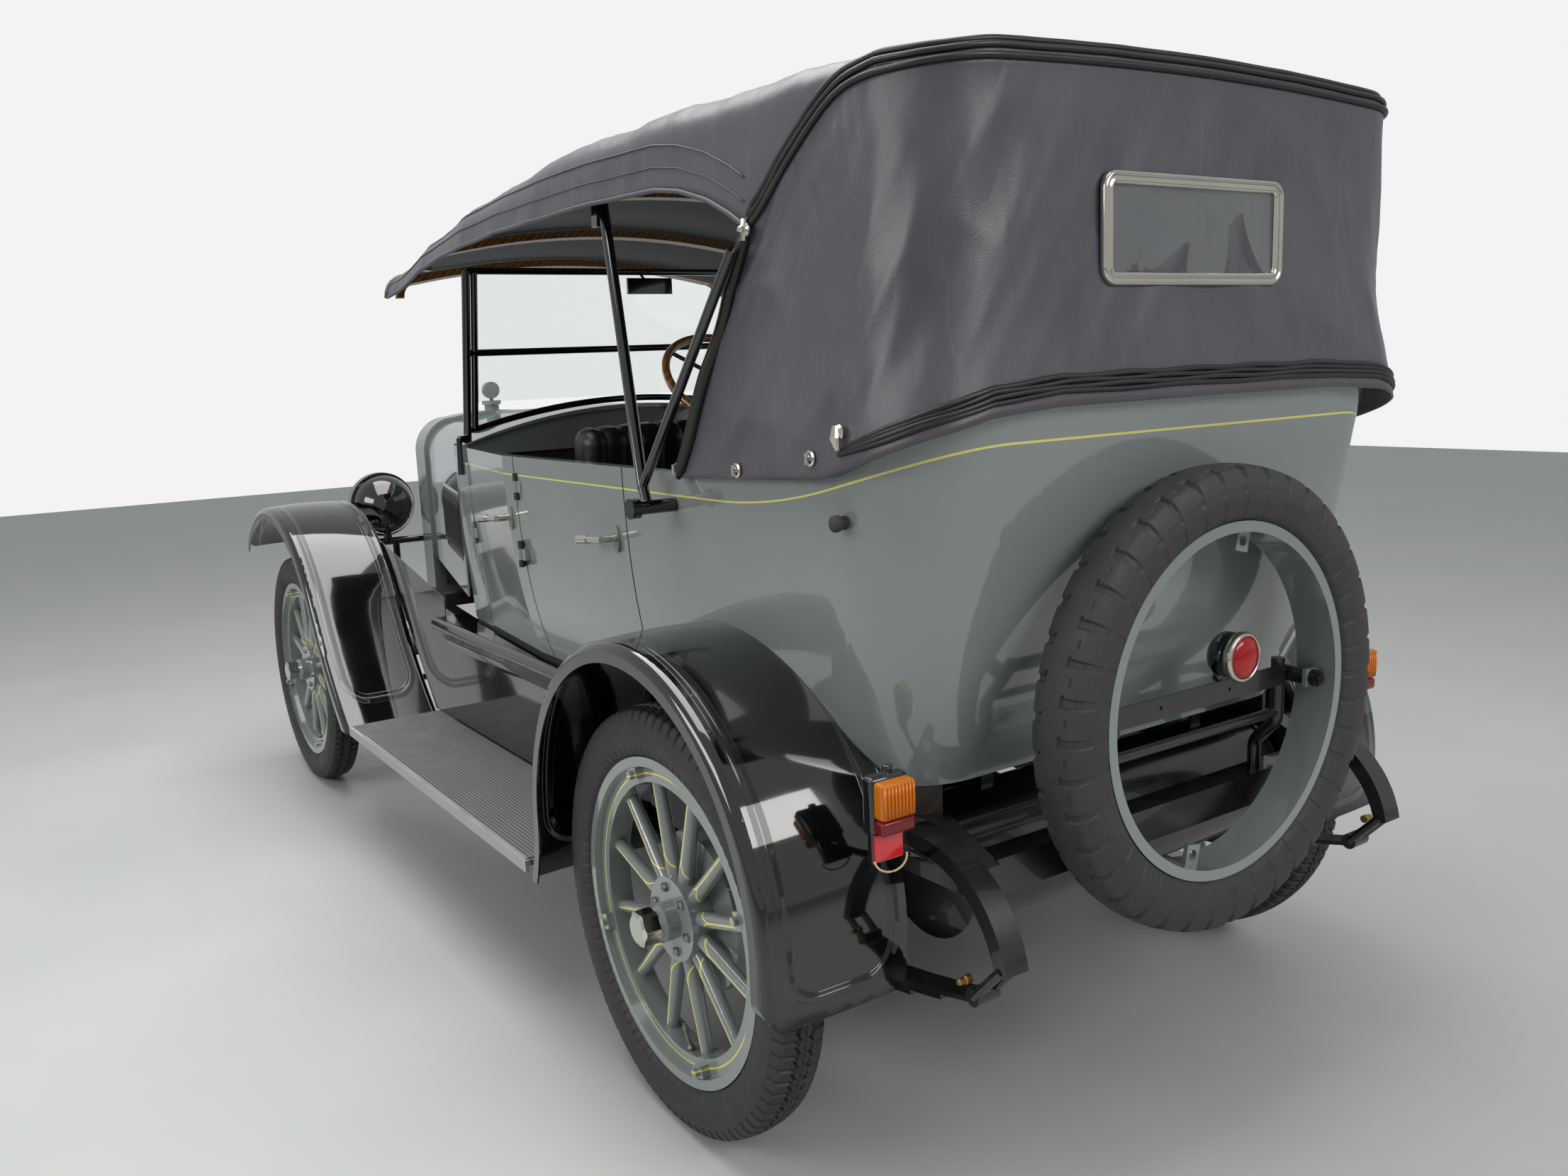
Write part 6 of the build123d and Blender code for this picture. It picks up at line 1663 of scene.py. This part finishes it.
@dataclass
class TailLamp:
    """The round red lamp beside the spare wheel, with its bright rim and its bracket."""

    face: tuple[float, float, float] = (-1.776, -0.062, 0.859)

    def build(self, palette: Palette) -> None:
        """Turns the drum, rim and lens about X, and carries the bracket down to the plate bar.

        Args:
            palette: The car's finishes.
        """
        back = (-1, 0, 0)
        drum = mesh_piece("tail_lamp_drum", *joined(
            lathe([(0, 0.0), (0.026, 0.0), (0.036, 0.006), (0.0395, 0.014), (0.0395, 0.046), (0.036, 0.048),
                   (0, 0.048)], self.face, back, 48),
            tube(np.array([(-1.779, -0.062, 0.838), (-1.779, -0.062, 0.820), (-1.776, -0.062, 0.811)]),
                 0.009, 12)))
        rim = mesh_piece("tail_lamp_rim", *lathe(
            [(0.0385, 0.042), (0.0425, 0.043), (0.0435, 0.047), (0.0435, 0.052), (0.0415, 0.057),
             (0.0375, 0.0585), (0.0365, 0.055), (0.0365, 0.044)], self.face, back, 48))
        lens = mesh_piece("tail_lamp_lens", *lathe(
            [(0, 0.050), (0.0362, 0.050), (0.0362, 0.056), (0.031, 0.0605), (0.018, 0.0645), (0, 0.066)],
            self.face, back, 48))
        for piece, finish in ((drum, palette.black), (rim, palette.nickel), (lens, palette.red_glass)):
            recalculated(piece)
            dress(piece, finish)
            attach(piece, "car")
        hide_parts("tail_lamps")
        log.info("tail lamp: drum, rim and lens")


@dataclass
class SideLamp:
    """A square rear lamp: dark housing, amber over dark red lens, and a red reflector under them."""

    side: Side
    x: float = -1.678
    y: float = 0.606
    ribs: int = 9

    def build(self, palette: Palette) -> None:
        """Sets the rounded boxes behind each other, with ribs over the amber lens.

        Args:
            palette: The car's finishes.
        """
        out = self.side.value
        x, y = self.x, self.y * out
        label = self.side.name.lower()
        bracket = tube(np.array([(x - 0.006, out * 0.522, 0.611), (x - 0.008, out * 0.560, 0.632),
                                 (x - 0.008, y - out * 0.012, 0.655), (x - 0.010, y, 0.668)]), 0.0075, 10)
        housing = joined(rounded_block((x - 0.013, y, 0.724), (0.026, 0.070, 0.088), 0.007),
                         rounded_block((x - 0.010, y, 0.655), (0.014, 0.058, 0.052), 0.004),
                         rounded_block((x - 0.008, y - out * 0.010, 0.771), (0.010, 0.016, 0.016), 0.004),
                         bracket)
        ribs = [tube(np.array([(x - 0.0475, y + dy, 0.708), (x - 0.0485, y + dy, 0.734),
                               (x - 0.0475, y + dy, 0.760)]), 0.0026, 8)
                for dy in np.linspace(-0.027, 0.027, self.ribs)]
        shapes = (
            ("housing", housing, palette.black),
            ("amber", joined(rounded_block((x - 0.036, y, 0.734), (0.024, 0.064, 0.058), 0.006), *ribs),
             palette.amber),
            ("red", rounded_block((x - 0.036, y, 0.693), (0.024, 0.064, 0.023), 0.006), palette.dark_red),
            ("reflector", rounded_block((x - 0.0185, y, 0.655), (0.007, 0.054, 0.044), 0.0025), palette.red))
        for part, shape, finish in shapes:
            piece = recalculated(mesh_piece(f"side_lamp_{part}_{label}", *shape))
            dress(piece, finish)
            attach(piece, "car")
        if self.side is Side.LEFT:
            self.lead(palette)
        log.info("side lamp %s: housing, lenses and reflector", label)

    def lead(self, palette: Palette) -> None:
        """The short cream wire that hangs in a loop under the left lamp, from its foot and back.

        Args:
            palette: The car's finishes.
        """
        x, y = self.x - 0.021, self.y
        turn = np.linspace(math.pi, 2 * math.pi, 25)
        path = np.stack([x - 0.006 * np.sin(-turn), y + 0.031 * np.cos(turn) - 0.002,
                         0.637 + 0.021 * np.sin(turn)], -1)
        piece = recalculated(mesh_piece("side_lamp_wire", *tube(path, 0.0017, 8)))
        dress(piece, palette.cream)
        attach(piece, "car")


@dataclass
class Seat:
    """A bench of black hide: a pleated cushion and a pleated back that leans rearwards."""

    label: str
    cushion_x: tuple[float, float]
    cushion_top: float
    half: float
    back_foot: float
    back_half: float
    back_top: float
    base: float = 0.7622
    pleat: float = 0.052

    def slab(self, wide: float, tall: float, half: float, corner: float, depth: float
             ) -> tuple[np.ndarray, np.ndarray]:
        """A stuffed slab swept along Y: a rounded section that each pleat's valley draws in.

        The section's outline is a rounded box in X and Z. Along Y it shrinks by a quarter circle at
        both ends, and by the pleat depth times one minus the root of a sine's size.

        Args:
            wide: Size from front to back.
            tall: Size from bottom to top.
            half: Half the length along Y.
            corner: Radius of its edges.
            depth: Depth of a valley.

        Returns:
            Points and quads.
        """
        turn = np.linspace(0, 2 * math.pi, 64, endpoint=False)
        corner_turn = (np.floor(turn / (math.pi / 2)) + 0.5) * math.pi / 2
        y = np.concatenate([-half + 0.034 * (1 - np.cos(np.linspace(0, math.pi / 2, 7))),
                            np.linspace(-half + 0.036, half - 0.036, int(half * 2 / 0.0045)),
                            half - 0.034 * (1 - np.cos(np.linspace(math.pi / 2, 0, 7)))])
        end = np.clip((half - np.abs(y)) / 0.034, 0, 1)
        shrink = 1 - np.sqrt(1 - (1 - end) ** 2)
        valley = depth * (1 - np.abs(np.sin(math.pi * y / self.pleat)) ** 0.55)
        inset = shrink * 0.034 + valley * (end >= 1)
        x0, z0 = wide / 2 - corner, tall / 2 - corner
        crown = 0.012 * (1 - (y / half) ** 2)
        radius = (corner - inset)[:, None]
        x = np.sign(np.cos(corner_turn)) * x0 + radius * np.cos(turn)
        z = np.sign(np.sin(corner_turn)) * z0 + radius * np.sin(turn)
        z = z + crown[:, None] * (np.sin(turn) > 0) * np.clip(1 - np.abs(x) / (wide / 2), 0, 1)
        rows = np.stack([x, y[:, None] + np.zeros_like(x), z], -1)
        ends = [np.tile(rows[k].mean(0), (1, 64, 1)) for k in (0, -1)]
        rows = np.concatenate([ends[0], rows, ends[1]])
        return rows.reshape(-1, 3), grid_faces(rows.shape[0], 64, close_columns=True)

    def build(self) -> tuple[tuple[np.ndarray, np.ndarray], tuple[np.ndarray, np.ndarray]]:
        """Returns the cushion and the back, in place.

        Returns:
            Points and quads of each.
        """
        x0, x1 = self.cushion_x
        tall = self.cushion_top - self.base
        cushion, cushion_faces = self.slab(x1 - x0, tall, self.half, 0.036, 0.007)
        cushion += np.array([(x0 + x1) / 2, 0, self.base + tall / 2])
        height = self.back_top - self.base
        back, back_faces = self.slab(0.100, height, self.back_half, 0.038, 0.007)
        lean = math.radians(-7)
        z = back[:, 2] + height / 2
        back = np.stack([back[:, 0] * math.cos(lean) + z * math.sin(lean), back[:, 1],
                         -back[:, 0] * math.sin(lean) + z * math.cos(lean)], -1)
        back += np.array([self.back_foot, 0, self.base])
        return (cushion, cushion_faces), (back, back_faces)


def upholster(palette: Palette) -> None:
    """Args:
        palette: The car's finishes.
    """
    at = REAR_AXLE_X
    front = Seat("front", (at + 0.924, at + 1.240), 0.905, 0.470, at + 0.868, 0.466, 1.250)
    rear = Seat("rear", (at - 0.288, at + 0.100), 0.915, 0.500, at - 0.345, 0.425, 1.235)
    made = [seat.build() for seat in (front, rear)]
    for index, (name, node) in enumerate((("pleated_cushions", "seat_cushions"),
                                          ("pleated_backs", "seat_backs"))):
        piece = mesh_piece(name, *joined(*(shapes[index] for shapes in made)))
        recalculated(piece)
        dress(piece, palette.hide)
        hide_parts(node)
        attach(piece, "car")
    log.info("seats: two pleated benches")


@dataclass
class Brightwork:
    """Small parts on the body and the springs: brass grease cups and rubber side buffers."""

    greaser_y: float = 0.522

    def build(self, palette: Palette) -> None:
        """Turns each part about its own axis and joins those of one finish.

        Args:
            palette: The car's finishes.
        """
        cups = []
        for side in (1, -1):
            for x, z in ((REAR_AXLE_X - 0.575, 0.446), (REAR_AXLE_X + 0.575, 0.412),
                         (FRONT_AXLE_X - 0.445, 0.470), (FRONT_AXLE_X + 0.445, 0.470)):
                y = self.greaser_y if x < 0 else 0.400
                cups.append(lathe([(0, 0), (0.0075, 0), (0.0075, 0.010), (0.0055, 0.012), (0.0055, 0.022),
                                   (0.003, 0.025), (0, 0.025)], (x, side * y, z), (0, side, 0), 16))
        piece = recalculated(mesh_piece("grease_cups", *joined(*cups), smooth=False), 1e-6)
        dress(piece, palette.brass)
        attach(piece, "car")
        buffers = [lathe([(0, 0), (0.011, 0), (0.010, 0.010), (0.013, 0.013), (0.013, 0.021), (0.009, 0.024),
                          (0, 0.024)], (REAR_AXLE_X - 0.395, side * 0.5975, 1.138), (0, side, 0), 20)
                   for side in (1, -1)]
        piece = recalculated(mesh_piece("side_buffers", *joined(*buffers)), 1e-6)
        dress(piece, palette.old_rubber)
        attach(piece, "car")
        log.info("brightwork: grease cups and side buffers")


@dataclass
class Louvres:
    """Black panel of pressed louvres on one side of the bonnet, which lifts with that half."""

    side: Side
    inset: float = 0.050
    length: float = 0.400
    low: float = 0.850
    high: float = 1.050
    count: int = 12
    reach: float = 0.008
    rear_half: float = 0.491
    nose_half: float = 0.272

    def build(self, palette: Palette) -> None:
        """Raises the louvres from a panel that lies on the bonnet's tapering side.

        A louvre's height is its reach times a saw along the panel, steep at its open rear edge and
        slow towards the front, times the root of one minus the eighth power of the place up it.

        Args:
            palette: The car's finishes.
        """
        label = self.side.name.lower()
        rear, nose = (corner[0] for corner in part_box(f"bonnet_{label}"))
        phase = np.array([0.0, 0.06, 0.18, 0.30, 0.48, 0.66, 0.84, 0.97])
        saw = np.tile([0.0, 1.0, 0.95, 0.85, 0.62, 0.36, 0.12, 0.0], self.count)
        along = ((np.arange(self.count)[:, None] + phase) / self.count).ravel()
        up = np.linspace(0, 1, 25)
        window = np.sqrt(np.clip(1 - (np.abs(2 * up - 1) / 0.86) ** 8, 0, 1))
        lift = 0.0010 + self.reach * saw[:, None] * window[None, :]
        lift = np.concatenate([lift, np.full((len(along), 2), 0.0002)], 1)
        z = self.low + (self.high - self.low) * np.concatenate([up, [1.0, 0.0]])
        slope = (self.rear_half - self.nose_half) / (nose - rear)
        size = math.hypot(slope, 1.0)
        x = (rear + self.inset + self.length * along)[:, None] + lift * slope / size
        y = self.rear_half - slope * (self.inset + self.length * along)[:, None] + lift / size
        rows = np.stack([x, self.side.value * y, np.broadcast_to(z, x.shape)], -1)
        ends = [np.tile(rows[k].mean(0), (1, rows.shape[1], 1)) for k in (0, -1)]
        rows = np.concatenate([ends[0], rows, ends[1]])
        piece = recalculated(mesh_piece(f"bonnet_louvres_{label}", rows,
                                        grid_faces(rows.shape[0], rows.shape[1], close_columns=True)), 1e-6)
        dress(piece, palette.black)
        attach(piece, f"bonnet_{label}")
        log.info("bonnet louvres %s: %d on a black panel", label, self.count)


def dress_nodes(frame: dict, palette: Palette) -> None:
    """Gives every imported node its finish.

    Args:
        palette: The car's finishes.
    """
    for finish, names in NODE_FINISH.items():
        for name in names:
            dress(frame["nodes"][name], getattr(palette, finish))
    for (end, side), material in palette.wheels.items():
        dress(frame["nodes"][f"wheel_{end.name.lower()}_{side.name.lower()}"], material)


def main() -> None:
    """Builds the room, dresses the nodes and adds the pieces in order."""
    logging.basicConfig(level=logging.INFO, format="%(message)s")
    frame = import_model()
    Studio().build()
    palette = Palette()
    dress_nodes(frame, palette)
    for end in End:
        for side in Side:
            label = f"{end.name.lower()}_{side.name.lower()}"
            Tyre(f"tyre_{label}", f"wheel_{label}",
                 (end.value, HALF_TRACK * side.value, AXLE_Z)).build(palette)
            WheelFittings(end, side).build(palette)
    Tyre("spare_tyre", "car", (SPARE_PLANE_X, 0.0, SPARE_Z), across=True, chunky=True).build(palette)
    Hood().build(palette)
    TailLamp().build(palette)
    for side in Side:
        SideLamp(side).build(palette)
        Louvres(side).build(palette)
    upholster(palette)
    Brightwork().build(palette)


if __name__ == "__main__":
    main()
